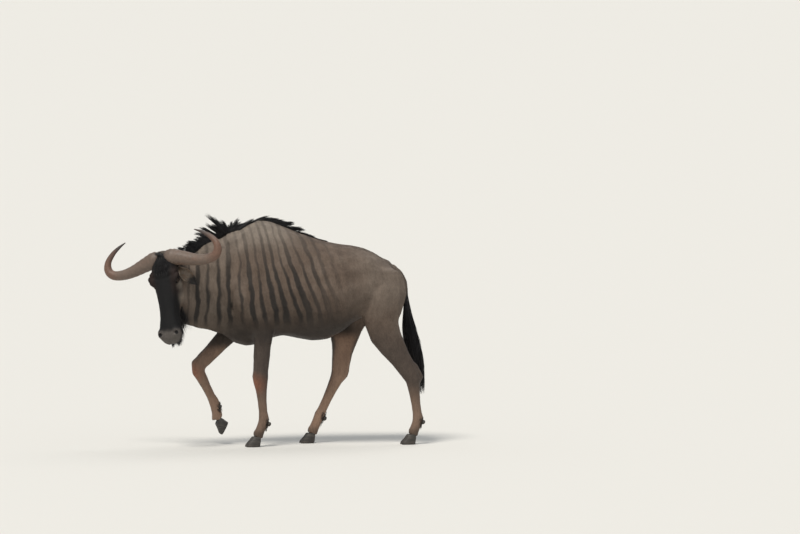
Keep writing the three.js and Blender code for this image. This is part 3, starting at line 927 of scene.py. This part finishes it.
def locks(name, paths, normals, widths, flat, places, material, slot, shading=None):
    """Solid tapered locks, three-sided, each with its own UV patch.

    A path is one row of points for each lock. Flat is its thickness as a share of its width, places
    are the roots' places on the unwrap, and shading holds a normal for each lock.
    """
    count, stations = paths.shape[:2]
    way = unit(paths[:, -1] - paths[:, 0])
    across = unit(np.cross(way, normals))
    out = unit(np.cross(across, way))
    rings = stations - 1
    taper = 1.0 - (np.arange(rings) / rings) ** TAPER_POWER * TAPER
    ring = (
        across[:, None, None] * np.cos(CORNERS)[None, None, :, None]
        + out[:, None, None] * np.sin(CORNERS)[None, None, :, None] * flat
    )
    half = widths[:, None, None, None] / 2 * taper[None, :, None, None]
    body = paths[:, :rings, None] + ring * half
    points = np.concatenate([body.reshape(count, rings * 3, 3), paths[:, -1:]], axis=1)
    per = rings * 3 + 1
    index = (lock_pattern(rings)[None] + (np.arange(count) * per)[:, None, None]).reshape(-1)
    mesh = bpy.data.meshes.new(name)
    mesh.vertices.add(count * per)
    mesh.vertices.foreach_set("co", points.astype(np.float32).ravel())
    mesh.loops.add(len(index))
    mesh.loops.foreach_set("vertex_index", index)
    mesh.polygons.add(len(index) // 3)
    mesh.polygons.foreach_set("loop_start", np.arange(0, len(index), 3, dtype=np.int32))
    across_patch = np.array([-1.0, 1.0, 0.0] * rings + [0.0])
    along_patch = np.append(np.repeat(np.arange(rings) / rings, 3), 1.0)
    patch = np.stack([across_patch, along_patch * 2 - 1], axis=1) * HALF_PATCH
    uv = (places[:, None] + patch[None]).reshape(-1, 2)[index]
    layer = mesh.uv_layers.new(name="OFBake")
    layer.data.foreach_set("uv", np.clip(uv, 0, 1).astype(np.float32).ravel())
    mesh.update(calc_edges=True)
    mesh.validate()
    made = mesh_object(name, mesh, material)
    if shading is not None:
        mesh.normals_split_custom_set_from_vertices(np.repeat(shading, per, axis=0))
    return made


# Where the pieces of the coat meet, each edge as the stretch over which one gives way to the next
NECK_EDGE, BLADE_EDGE, LOIN_EDGE = (-0.56, -0.50), (-0.22, -0.18), (0.26, 0.30)
MUZZLE_EDGE = (0.44, 0.475)
# Tufts of the short coat: width, thickness as a share of it, and how they turn aside and stand off
TUFT_WIDTH, TUFT_FLAT, TUFT_SWIRL, TUFT_LIFT = 0.0026, 0.35, 0.16, 0.10
ROOT_DEPTH = 0.0008


def coat_regions(w, head):
    """How much of each piece of the coat grows at each place, by name."""
    x, _, z = w.T
    blade, barrel, rump = (ease(*edge, x) for edge in (NECK_EDGE, BLADE_EDGE, LOIN_EDGE))
    before_neck, before_blade, before_loin = (
        ease(high, low, x) for low, high in (NECK_EDGE, BLADE_EDGE, LOIN_EDGE)
    )
    above_legs = ease(0.56, 0.62, z)
    return {
        "coat_head_neck": np.maximum(head, before_neck) * (1 + 1.3 * head),
        "coat_shoulder": blade * before_blade * ease(0.60, 0.66, z) * (1 - head),
        "coat_barrel": barrel * before_loin * above_legs,
        "coat_rump": rump * above_legs,
        "coat_legs": ease(0.67, 0.61, z) * ease(-0.74, -0.70, x) * ease(0.05, 0.08, z),
    }


def build_coat(ground):
    material = tuft_material()
    head = head_share(ground.middle)
    muzzle = ease(*MUZZLE_EDGE, on_head_all(ground.middle)[:, 0]) * head
    regions = coat_regions(stance(ground.middle), head)
    for number, (name, weight) in enumerate(regions.items()):
        rng = seeded("coat", number)
        points, normals, places = ground.roots(sizes().tufts, weight * (1 - muzzle), rng)
        head, leg = head_share(points), leg_share(points)
        flow = lie_of_coat(points, normals)
        side = np.cross(normals, flow)
        count = len(points)
        swirl = rng.normal(0, TUFT_SWIRL, (count, 1))
        lift = TUFT_LIFT + 0.10 * rng.random((count, 1))
        way = unit(flow + side * swirl + normals * lift)
        scale = 1 - 0.62 * head - 0.42 * leg * (1 - head)
        length = sizes().tuft_length * scale * rng.uniform(0.7, 1.25, count)
        width = TUFT_WIDTH * (1 - 0.45 * head - 0.25 * leg) * rng.uniform(0.7, 1.2, count)
        root = points - normals * ROOT_DEPTH
        tip = root + way * length[:, None] - normals * (length * 0.05)[:, None]
        paths = np.stack([root, tip], axis=1)
        shading = unit(normals + scattered(rng, 0.17, count))
        locks(name, paths, normals, width, TUFT_FLAT, places, material, "hide", shading)


# Thickness of a lock of long hair as a share of its width
LOCK_FLAT = 0.6


def swept(root, way, length, droop, rng, stations=6, wander=0.05):
    """Curved paths from roots: straight ahead at first, then falling over and wandering."""
    s = np.linspace(0, 1, stations)[None, :, None]
    bend = rng.normal(0, wander, (len(root), 1, 3)) * s**2
    droop = np.broadcast_to(droop, root.shape)[:, None]
    return root[:, None] + (way[:, None] * s + droop * s**2 + bend) * length[:, None, None]


def scattered(rng, spread, count):
    """Small random moves, one for each lock."""
    return rng.normal(0, spread, (count, 3))


# Mane: rows of [x, y, height of the skin, length, lean along x, half width of the root line]
MANE_NECK = [
    [-0.436, 0.000, 1.303, 0.125, -0.10, 0.010],
    [-0.458, -0.001, 1.296, 0.160, -0.50, 0.013],
    [-0.490, -0.003, 1.286, 0.155, -0.85, 0.015],
    [-0.530, -0.008, 1.274, 0.115, -1.10, 0.017],
    [-0.590, -0.026, 1.250, 0.090, -1.05, 0.021],
    [-0.660, -0.052, 1.228, 0.078, -1.00, 0.026],
    [-0.740, -0.086, 1.204, 0.072, -1.00, 0.029],
    [-0.820, -0.124, 1.182, 0.066, -1.10, 0.030],
    [-0.890, -0.165, 1.180, 0.055, -1.20, 0.028],
]
MANE_WITHERS = [
    [-0.440, 0.000, 1.303, 0.120, 0.15, 0.011],
    [-0.418, 0.000, 1.318, 0.130, 0.60, 0.014],
    [-0.385, 0.000, 1.338, 0.125, 0.95, 0.016],
    [-0.335, 0.000, 1.364, 0.105, 1.35, 0.018],
    [-0.270, 0.000, 1.386, 0.090, 1.90, 0.018],
    [-0.190, 0.000, 1.382, 0.078, 2.60, 0.017],
    [-0.090, 0.000, 1.338, 0.062, 3.40, 0.014],
    [0.020, 0.000, 1.290, 0.046, 4.00, 0.010],
    [0.120, 0.000, 1.258, 0.028, 4.50, 0.006],
]


# Share of the mane's hairs that stay short, and how far the others close up to a strand's point
MANE_SHORT, MANE_CLOSE = 0.38, 0.78
MANE_STATIONS = 7


def build_mane(ground):
    """Locks of long hair that stand on the crest and come to points, some of them curling over."""
    material = hair_material()
    stretches = (
        ("mane_front", "mane_neck", MANE_NECK),
        ("mane_back", "mane_withers", MANE_WITHERS),
    )
    strands, count = sizes().mane_strands, sizes().mane_hairs
    for number, (name, node, rows) in enumerate(stretches):
        rng = seeded("mane", number)
        strand_t = (np.arange(strands) + rng.uniform(0.1, 0.9, strands)) / strands
        habit = rng.normal(0, 1, (strands, 5)).clip(-1.6, 1.6)
        own = rng.integers(0, strands, count)
        middle = between(rows, strand_t[own])
        t = np.clip(strand_t[own] + rng.normal(0, 0.55 / strands, count), 0, 1)
        row = between(rows, t)
        away = rng.uniform(-1, 1, count)
        root = np.stack([row[:, 0], row[:, 1] + away * row[:, 5], row[:, 2] - 0.004], axis=1)
        found = ground.closest(root + SHIFT_ROW)
        root = ground.middle[found] + scattered(rng, 0.0025, count) - np.array((0, 0, 0.003))
        heart = middle[:, :3] + SHIFT_ROW - np.array((0, 0, 0.012))
        short = rng.random(count) < MANE_SHORT
        # Each strand's own habit: more or less lean, aside, longer, curling aside, leaning over
        habit = habit[own] * ease(-0.66, -0.52, middle[:, 0])[:, None].clip(0.3, 1)
        more_lean, aside, longer, curl, over = habit.T
        lean = middle[:, 4] * (1 + more_lean * 0.12) + over * 0.07
        way = unit(np.stack([lean, aside * 0.12 + away * 0.05, np.ones(count)], axis=1))
        way = unit(way + scattered(rng, 0.03, count))
        lengths = middle[:, 3] * (1 + 0.20 * longer) * rng.uniform(0.72, 1.03, count)
        lengths = np.where(short, lengths * 0.42, lengths)
        droop = np.stack([lean * 0.16, curl * 0.10, -0.26 - 0.06 * curl], axis=1)
        paths = swept(root, way, lengths, droop, rng, MANE_STATIONS, wander=0.02)
        s = np.linspace(0, 1, MANE_STATIONS)[None, :, None]
        close = np.where(short, 0.2, MANE_CLOSE)[:, None, None]
        paths = paths - (root - heart)[:, None] * s**1.2 * close
        normals = unit(np.cross(way, np.array((0.0, 0.0, 1.0)) + scattered(rng, 0.4, count)))
        widths = rng.uniform(0.0022, 0.0044, count)
        places = ground.uv[found]
        made = locks(name, paths, normals, widths, LOCK_FLAT, places, material, "hair")
        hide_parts(node)


def build_forelock(ground):
    """Black hair on the poll between the horns and down the top of the forehead."""
    rng = seeded("forelock")
    x, y, z = on_head_all(ground.middle).T
    weight = ease(-0.05, -0.02, x) * ease(0.12, 0.03, x)
    weight = weight * ease(0.055, 0.035, np.abs(y)) * ease(-0.06, -0.03, z)
    count = sizes().forelock_hairs
    root, normals, places = ground.roots(count, weight * head_share(ground.middle), rng)
    way = unit(NOSE_ROW + normals * 0.55 + scattered(rng, 0.16, count))
    lengths = rng.uniform(0.020, 0.042, count)
    droop = NOSE_ROW * 0.25 - normals * 0.35
    paths = swept(root - normals * 0.002, way, lengths, droop, rng)
    widths = rng.uniform(0.0020, 0.0036, count)
    locks("forelock", paths, normals, widths, LOCK_FLAT, places, hair_material(), "hair")


# Beard: rows of [x, z, half width, length] in the head's frame, from the chin to the throat
BEARD = [
    [0.520, -0.098, 0.020, 0.035],
    [0.470, -0.128, 0.026, 0.060],
    [0.400, -0.150, 0.030, 0.085],
    [0.320, -0.168, 0.032, 0.110],
    [0.240, -0.190, 0.030, 0.110],
    [0.170, -0.205, 0.026, 0.075],
]


# A beard lock whose root lies farther than this from the skin is left out
BEARD_HELD = 0.035


def build_beard(ground):
    """Locks that hang from the chin, the jaw and the throat."""
    rng = seeded("beard")
    count = sizes().beard_hairs
    row = between(BEARD, rng.random(count))
    away = rng.uniform(-1, 1, count)
    root = from_head(np.stack([row[:, 0], away * row[:, 2], row[:, 1]], axis=1))
    found = ground.closest(root)
    held = np.linalg.norm(ground.middle[found] - root, axis=1) < BEARD_HELD
    root = ground.middle[found] + scattered(rng, 0.002, count)
    way = -BROW_ROW * 0.75 + np.array((0, 0, -1.0)) * 0.8
    way = unit(way + LEFT_ROW * away[:, None] * 0.25 + scattered(rng, 0.10, count))
    lengths = row[:, 3] * rng.uniform(0.55, 1.15, count)
    paths = swept(root, way, lengths, (0, 0, -0.35), rng)
    normals = unit(np.cross(way, LEFT_ROW + scattered(rng, 0.4, count)))
    shape = paths[held], normals[held], rng.uniform(0.0026, 0.005, count)[held]
    places = ground.uv[found][held]
    made = locks("beard_locks", *shape, LOCK_FLAT, places, hair_material(), "hair")
    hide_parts("beard")


# Tail: rows of [x, y, z, radius] down the hair from the dock to the tip
TAIL = [
    [0.660, 0.000, 0.940, 0.022],
    [0.668, 0.000, 0.860, 0.032],
    [0.676, 0.000, 0.770, 0.045],
    [0.690, 0.000, 0.680, 0.056],
    [0.708, 0.000, 0.590, 0.062],
    [0.728, 0.000, 0.490, 0.057],
    [0.746, 0.000, 0.390, 0.040],
    [0.766, 0.000, 0.285, 0.016],
]


TAIL_STATIONS = 9


def build_tail(ground):
    """Long locks that follow the tail down, each starting and ending at its own place."""
    rng = seeded("tail")
    count = sizes().tail_hairs
    start = rng.beta(1.0, 1.6, count) * 0.42
    length = rng.uniform(0.35, 1.0, count) * (1 - start) * 0.98
    turn = rng.uniform(0, 2 * np.pi, count)
    out = np.sqrt(rng.random(count)) * 0.95
    s = np.linspace(0, 1, TAIL_STATIONS)
    at = start[:, None] + length[:, None] * s[None]
    row = between(TAIL, at.ravel()).reshape(count, TAIL_STATIONS, 4)
    spread = (out[:, None] * (0.45 + 0.55 * s[None])) * row[:, :, 3]
    turn = turn[:, None] + np.sin(turn * 5)[:, None] * 0.25 * s[None]
    paths = row[:, :, :3].copy()
    paths[:, :, 0] += np.cos(turn) * spread
    paths[:, :, 1] += np.sin(turn) * spread * 0.85
    paths = paths + SHIFT_ROW
    way = unit(paths[:, -1] - paths[:, 0])
    normals = unit(np.cross(way, scattered(rng, 1, count)))
    widths = rng.uniform(0.0030, 0.0058, count)
    places = ground.uv[ground.closest(paths[:, 0])]
    made = locks("tail_locks", paths, normals, widths, LOCK_FLAT, places, hair_material(), "hair")
    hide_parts("tail_hair")


# Horns


def horn_rows(hand):
    """Rows of [along the face, to the side, out of the forehead, radius] from boss to tip."""
    r = HORN_REACH
    return [
        [0.018, hand * 0.020, -0.046, 0.036],
        [0.018, hand * 0.056, -0.044, 0.0505],
        [0.034, hand * 0.124, -0.052, 0.044],
        [0.058, hand * 0.205, -0.054, 0.0365],
        [0.070, hand * 0.278, -0.050, 0.0310],
        [0.062, hand * (r - 0.030), -0.044, 0.0275],
        [0.028, hand * r, -0.038, 0.025],
        [-0.020, hand * (r - 0.006), -0.032, 0.0195],
        [-0.066, hand * (r - 0.044), -0.028, 0.0145],
        [-0.098, hand * (r - 0.092), -0.024, 0.009],
        [-0.120, hand * (r - 0.138), -0.022, 0.0026],
    ]


HORN_RINGS, HORN_SIDES = 120, 28
# Height of the low rings and of the lumps near a horn's base, as shares of its radius
KNOB, LUMP = 0.032, 0.018


def build_horn(name, hand, material):
    """A tube of rings drawn out along the horn, with low knobbly rings near its base."""
    t = np.linspace(0, 1, HORN_RINGS)
    row = between(horn_rows(hand), t)
    centre = from_head(row[:, :3])
    way = unit(np.gradient(centre, axis=0))
    across = unit(np.cross(way, BROW_ROW[None]))
    out = np.cross(across, way)
    bm = bmesh.new()
    layer = bm.verts.layers.float.new("along_horn")
    loops = []
    for k in range(HORN_RINGS):
        ring = []
        for i in range(HORN_SIDES):
            a = 2 * math.pi * i / HORN_SIDES
            knob = math.sin(t[k] * 150 + 2.0 * math.sin(a * 2 + k * 0.05)) * KNOB
            rough = (knob + LUMP * math.sin(a * 5 + t[k] * 21)) * max(0.0, 1 - t[k] * 2.0)
            radius = row[k, 3] * (1 + rough)
            spot = centre[k] + (across[k] * math.cos(a) + out[k] * math.sin(a)) * radius
            vert = bm.verts.new(spot)
            vert[layer] = t[k]
            ring.append(vert)
        loops.append([bm.edges.new((a, b)) for a, b in zip(ring, ring[1:] + ring[:1])])
    for lower, upper in zip(loops, loops[1:]):
        bmesh.ops.bridge_loops(bm, edges=lower + upper)
    for loop in (loops[0], loops[-1]):
        bmesh.ops.contextual_create(bm, geom=loop)
    bmesh.ops.recalc_face_normals(bm, faces=bm.faces)
    made = mesh_object(f"{name}_shell", bm, material)
    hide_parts(name)


# Eyes


def build_eye(name, hand, material):
    """A ball with a cornea that stands a little proud, and a long pupil that lies level."""
    node = f"eye_{name}"
    low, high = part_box(node)
    centre = (low + high) / 2
    radius = (high - low).length / (2 * math.sqrt(3))  # the box's diagonal is a cube's
    axis = (LEFT * hand + BROW * 0.30).normalized()
    bm = bmesh.new()
    layer = bm.verts.layers.float.new("pupil")
    bmesh.ops.create_uvsphere(bm, u_segments=48, v_segments=32, radius=radius)
    for v in bm.verts:
        way = v.co.normalized()
        facing = max(-1.0, min(1.0, way.dot(axis)))
        flat = way - axis * facing
        long = flat.dot(NOSE)
        tall = (flat - NOSE * long).length
        v[layer] = math.hypot(long * 0.55, tall * 1.15) * 1.6 if facing > 0 else 1.0
        v.co = centre + way * radius * (1 + 0.05 * max(0.0, (facing - 0.72) / 0.28) ** 1.5)
    made = mesh_object(f"{node}_ball", bm, material)
    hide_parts(node)


# Ears: root and tip in the head's frame, and the way that each opens
EARS = {
    "left": ((0.078, 0.070, -0.080), (0.196, 0.164, -0.150), (0.10, 0.45, 0.9)),
    "right": ((0.084, -0.070, -0.080), (0.116, -0.128, -0.226), (0.2, -0.7, 0.7)),
}
EAR_THICKNESS = 0.003
# Rows of [half width, half angle of the curl in degrees] from root to tip
EAR_SHAPE = [
    [0.017, 150],
    [0.022, 140],
    [0.031, 100],
    [0.036, 74],
    [0.034, 62],
    [0.026, 55],
    [0.013, 50],
    [0.002, 45],
]


def ear_material(root, axis, length):
    c = colours()
    s = Shader("Ear")
    at = s.place()
    share = s.along(at, axis, root) / length
    patch = s.noise(at, 24.0, 4.0, 0.6) - 0.5
    streak = s.noise(at, 90.0, 3.0, 0.7) - 0.5
    tone = s.mix(s.ease(share + patch * 0.3, -0.02, 0.14), c.face, c.ear)
    tone = s.mix(s.ease(patch, -0.12, 0.16) * 0.75, tone, c.crest)
    tone = s.mix(s.ease(share + patch * 0.35, 0.52, 0.72) * 0.95, tone, c.face)
    return s.finish(s.shade(tone, streak * 0.9 + 1.0), 0.7)


def build_ear(name):
    """A thick leaf, curled almost to a tube at its root, with hair over it and along its edge."""
    root, tip, opens = EARS[name]
    root, tip = on_head(*root), on_head(*tip)
    axis = (tip - root).normalized()
    length = (tip - root).length
    opens = NOSE * opens[0] + LEFT * opens[1] + BROW * opens[2]
    opens = (opens - axis * opens.dot(axis)).normalized()
    side = axis.cross(opens)
    bm = bmesh.new()
    bmesh.ops.create_grid(bm, x_segments=30, y_segments=22, size=1)
    t = np.array([(v.co.x + 1) / 2 for v in bm.verts])
    row = between(EAR_SHAPE, t)
    for v, share, (half, angle) in zip(bm.verts, t, row):
        turn = math.radians(angle) * v.co.y
        radius = half / max(math.sin(min(math.radians(angle), math.pi / 2)), 0.3)
        sag = 0.012 * math.sin(share * math.pi)
        across = math.sin(turn) * radius
        deep = (1 - math.cos(turn)) * radius + sag
        v.co = root + SHIFT + axis * (share * length) + side * across + opens * (deep - half * 0.6)
    bmesh.ops.recalc_face_normals(bm, faces=bm.faces)
    bmesh.ops.solidify(bm, geom=bm.faces, thickness=EAR_THICKNESS)
    bmesh.ops.recalc_face_normals(bm, faces=bm.faces)
    # The wall's faces come in no fixed order, which would move the hair in each run
    bm.verts.index_update()
    corners = len(bm.verts)
    bm.faces.sort(key=lambda face: face.verts[0].index * corners + face.verts[1].index)
    material = ear_material(root, axis, length)
    leaf = mesh_object(f"ear_{name}_leaf", bm, material)
    unwrap(leaf)
    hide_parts(f"ear_{name}")
    ground = Ground(leaf)
    rng = seeded("ear", len(name))
    count = sizes().ear_hairs
    root, axis, side = np.array(root), np.array(axis), np.array(side)
    edge = np.abs((stance(ground.middle) - root) @ side)
    spots, normals, places = ground.roots(count, 0.35 + 40 * edge, rng)
    way = unit(axis + normals * 0.35 + scattered(rng, 0.12, count))
    along = (stance(spots) - root) @ axis / length
    lengths = rng.uniform(0.006, 0.013, count) * (1 + 0.9 * ease(0.30, 0.0, along))
    paths = swept(spots - normals * 0.001, way, lengths, (0, 0, -0.10), rng, stations=3)
    widths = rng.uniform(0.0014, 0.0024, count)
    shading = unit(normals + scattered(rng, 0.2, count))
    locks(f"ear_{name}_hair", paths, normals, widths, 0.5, places, material, "ear", shading)


FETLOCK_TONE = (0.050, 0.037, 0.029)
# Fetlocks: where the fringe hangs, as the back of each joint and the way down the toe
FETLOCKS = (
    ((-0.252, -0.118, 0.158), (-0.35, 0, -1)),
    ((-0.514, 0.114, 0.252), (0.45, 0, -1)),
    ((0.712, -0.118, 0.156), (-0.30, 0, -1)),
    ((0.142, 0.116, 0.170), (-0.45, 0, -1)),
)


def build_fringe(ground):
    """Short dark hair behind each fetlock, round the dewclaws."""
    rng = seeded("fringe")
    weight = np.zeros(len(ground.middle))
    down = np.zeros((len(ground.middle), 3))
    for spot, way in FETLOCKS:
        off = stance(ground.middle) - np.array(spot)
        far = np.linalg.norm(off, axis=1)
        close = far < 0.065
        behind = ease(0.004, 0.020, off[:, 0]) * ease(0.03, 0.0, off[:, 2])
        weight[close] = (ease(0.062, 0.045, far) * behind)[close]
        down[close] = way
    count = sizes().fringe_hairs
    chosen = ground.chosen(count, weight, rng)
    root = ground.middle[chosen] + scattered(rng, 0.002, count)
    normals = unit(ground.normals[chosen].mean(1))
    way = unit(unit(down[chosen]) + normals * 0.55 + scattered(rng, 0.12, count))
    lengths = rng.uniform(0.010, 0.022, count)
    droop = np.array((0, 0, -0.25)) - normals * 0.2
    paths = swept(root, way, lengths, droop, rng, stations=4)
    widths = rng.uniform(0.0018, 0.0032, count)
    material = hair_material("Fetlock hair", FETLOCK_TONE)
    places = ground.uv[chosen]
    locks("fetlock_fringe", paths, normals, widths, LOCK_FLAT, places, material, "hair")


# Hooves


# Triangles that meet flatter than this are joined, and edges sharper than that are rounded off
TOE_FLAT, TOE_EDGE = 0.7, math.radians(24)


def build_hooves():
    """Each toe and dewclaw of the frame with its edges rounded off."""
    material = hoof_material()
    for name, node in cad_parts.items():
        if not name.startswith(("hoof_", "dewclaw_")):
            continue
        bm = bmesh.new()
        bm.from_mesh(node.data)
        bmesh.ops.remove_doubles(bm, verts=bm.verts, dist=SAME_PLACE)
        bmesh.ops.join_triangles(
            bm, faces=bm.faces, angle_face_threshold=TOE_FLAT, angle_shape_threshold=TOE_FLAT
        )
        made = mesh_object(f"{name}_horn", bm, material)
        rounding = made.modifiers.new("rounding", "BEVEL")
        rounding.width = 0.004
        rounding.segments = 3
        rounding.angle_limit = TOE_EDGE
        finished(made)
        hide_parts(name)


# Operators


class WILDEBEEST_OT_skin(bpy.types.Operator):
    """Join the flesh into one skin and shape its muscles and face"""

    bl_idname = "wildebeest.skin"
    bl_label = "Skin"

    def execute(self, context):
        if len(build_skin().data.polygons) < 1000:
            raise RuntimeError("the skin came out empty")
        return {"FINISHED"}


class WILDEBEEST_OT_coat(bpy.types.Operator):
    """Cover the skin with short tufts"""

    bl_idname = "wildebeest.coat"
    bl_label = "Short coat"

    def execute(self, context):
        build_coat(Ground(bpy.data.objects["skin"]))
        return {"FINISHED"}


class WILDEBEEST_OT_long_hair(bpy.types.Operator):
    """Grow the mane, the beard and the tail"""

    bl_idname = "wildebeest.long_hair"
    bl_label = "Mane, beard and tail"

    def execute(self, context):
        ground = Ground(bpy.data.objects["skin"])
        build_mane(ground)
        build_forelock(ground)
        build_beard(ground)
        build_fringe(ground)
        build_tail(ground)
        return {"FINISHED"}


class WILDEBEEST_OT_horns(bpy.types.Operator):
    """Draw out both horns"""

    bl_idname = "wildebeest.horns"
    bl_label = "Horns"

    def execute(self, context):
        material = horn_material()
        for name, hand in HANDS.items():
            build_horn(f"horn_{name}", hand, material)
        return {"FINISHED"}


class WILDEBEEST_OT_eyes(bpy.types.Operator):
    """Set both eyes"""

    bl_idname = "wildebeest.eyes"
    bl_label = "Eyes"

    def execute(self, context):
        material = eye_material()
        for name, hand in HANDS.items():
            build_eye(name, hand, material)
        return {"FINISHED"}


class WILDEBEEST_OT_ears(bpy.types.Operator):
    """Curl both ears and cover them with hair"""

    bl_idname = "wildebeest.ears"
    bl_label = "Ears"

    def execute(self, context):
        for name in HANDS:
            build_ear(name)
        return {"FINISHED"}


class WILDEBEEST_OT_hooves(bpy.types.Operator):
    """Round off the hooves and dewclaws"""

    bl_idname = "wildebeest.hooves"
    bl_label = "Hooves"

    def execute(self, context):
        build_hooves()
        return {"FINISHED"}


# Stage: half the floor's width, and the picture as the camera sees it
FLOOR_REACH = 600
CAMERA_TURN, CAMERA_RISE, CAMERA_FAR = math.radians(-12), math.radians(3), 42.0
PICTURE_WIDTH, PICTURE_HEIGHT = 800, 534
PIXEL = 0.00613  # metres at the animal's distance
MIDDLE_COLUMN, GROUND_ROW = 300, 445  # where the picture shows the stance frame's origin
SENSOR = 36


def build_floor():
    bm = bmesh.new()
    bmesh.ops.create_grid(bm, x_segments=1, y_segments=1, size=FLOOR_REACH)
    s = Shader("Floor")
    s.surface.inputs["Base Color"].default_value = (0.70, 0.68, 0.64, 1)
    s.surface.inputs["Roughness"].default_value = 0.95
    s.surface.inputs["Specular IOR Level"].default_value = 0.1
    mesh = mesh_from(bm, "floor")
    mesh.materials.append(s.material)
    floor = bpy.data.objects.new("floor", mesh)
    bpy.context.scene.collection.objects.link(floor)


def soft_sun(name, towards, spread, power, tone):
    """A broad even light that comes from a direction."""
    data = bpy.data.lights.new(name, "SUN")
    data.angle = math.radians(spread)
    data.energy = power
    data.color = tone
    made = bpy.data.objects.new(name, data)
    made.rotation_euler = Vector(towards).to_track_quat("Z", "Y").to_euler()
    bpy.context.scene.collection.objects.link(made)


def build_lights():
    world = bpy.data.worlds.new("studio")
    bpy.context.scene.world = world
    world.use_nodes = True
    back = world.node_tree.nodes["Background"]
    back.inputs["Color"].default_value = (0.86, 0.93, 1.0, 1)
    back.inputs["Strength"].default_value = 0.43
    soft_sun("key", (-0.50, -0.62, 1.30), 20, 2.55, (1.0, 0.965, 0.90))
    soft_sun("rim", (0.55, 0.55, 1.1), 40, 0.7, (1.0, 0.98, 0.95))


def build_camera():
    """A long lens from the photograph's angle, with the animal where the photograph has it."""
    right = Vector((math.cos(CAMERA_TURN), math.sin(CAMERA_TURN), 0))
    level = math.cos(CAMERA_RISE)
    back = (math.sin(CAMERA_TURN) * level, -math.cos(CAMERA_TURN) * level, math.sin(CAMERA_RISE))
    back = Vector(back)
    aside = (PICTURE_WIDTH / 2 - MIDDLE_COLUMN) * PIXEL
    above = (GROUND_ROW - PICTURE_HEIGHT / 2) * PIXEL
    data = bpy.data.cameras.new("camera")
    data.sensor_width = SENSOR
    data.lens = SENSOR * CAMERA_FAR / (PICTURE_WIDTH * PIXEL)
    data.clip_end = 400
    camera = bpy.data.objects.new("camera", data)
    camera.location = SHIFT + right * aside + Vector((0, 0, above)) + back * CAMERA_FAR
    camera.rotation_euler = (-back).to_track_quat("-Z", "Y").to_euler()
    bpy.context.scene.collection.objects.link(camera)
    bpy.context.scene.camera = camera


class WILDEBEEST_OT_stage(bpy.types.Operator):
    """Lay the floor, hang the lights and set the camera"""

    bl_idname = "wildebeest.stage"
    bl_label = "Floor, lights and camera"

    def execute(self, context):
        build_floor()
        build_lights()
        build_camera()
        context.scene.view_settings.view_transform = "Standard"
        return {"FINISHED"}


OPERATORS = (
    WILDEBEEST_OT_skin,
    WILDEBEEST_OT_coat,
    WILDEBEEST_OT_long_hair,
    WILDEBEEST_OT_horns,
    WILDEBEEST_OT_eyes,
    WILDEBEEST_OT_ears,
    WILDEBEEST_OT_hooves,
    WILDEBEEST_OT_stage,
)


class WILDEBEEST_PT_panel(bpy.types.Panel):
    """Sizes, colours and the steps that build the animal"""

    bl_idname = "WILDEBEEST_PT_panel"
    bl_label = "Wildebeest"
    bl_space_type = "VIEW_3D"
    bl_region_type = "UI"
    bl_category = "Wildebeest"

    def draw(self, context):
        column = self.layout.column()
        for group in (context.scene.wildebeest_sizes, context.scene.wildebeest_colours):
            for name in group.__annotations__:
                column.prop(group, name)
        for operator in OPERATORS:
            column.operator(operator.bl_idname)


CLASSES = (Sizes, Colours, *OPERATORS, WILDEBEEST_PT_panel)


def register():
    for cls in CLASSES:
        bpy.utils.register_class(cls)
    bpy.types.Scene.wildebeest_sizes = bpy.props.PointerProperty(type=Sizes)
    bpy.types.Scene.wildebeest_colours = bpy.props.PointerProperty(type=Colours)


def unregister():
    del bpy.types.Scene.wildebeest_colours
    del bpy.types.Scene.wildebeest_sizes
    for cls in reversed(CLASSES):
        bpy.utils.unregister_class(cls)


def main():
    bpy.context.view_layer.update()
    register()
    bpy.ops.wildebeest.skin()
    bpy.ops.wildebeest.coat()
    bpy.ops.wildebeest.long_hair()
    bpy.ops.wildebeest.horns()
    bpy.ops.wildebeest.eyes()
    bpy.ops.wildebeest.ears()
    bpy.ops.wildebeest.hooves()
    bpy.ops.wildebeest.stage()


if __name__ == "__main__":
    main()
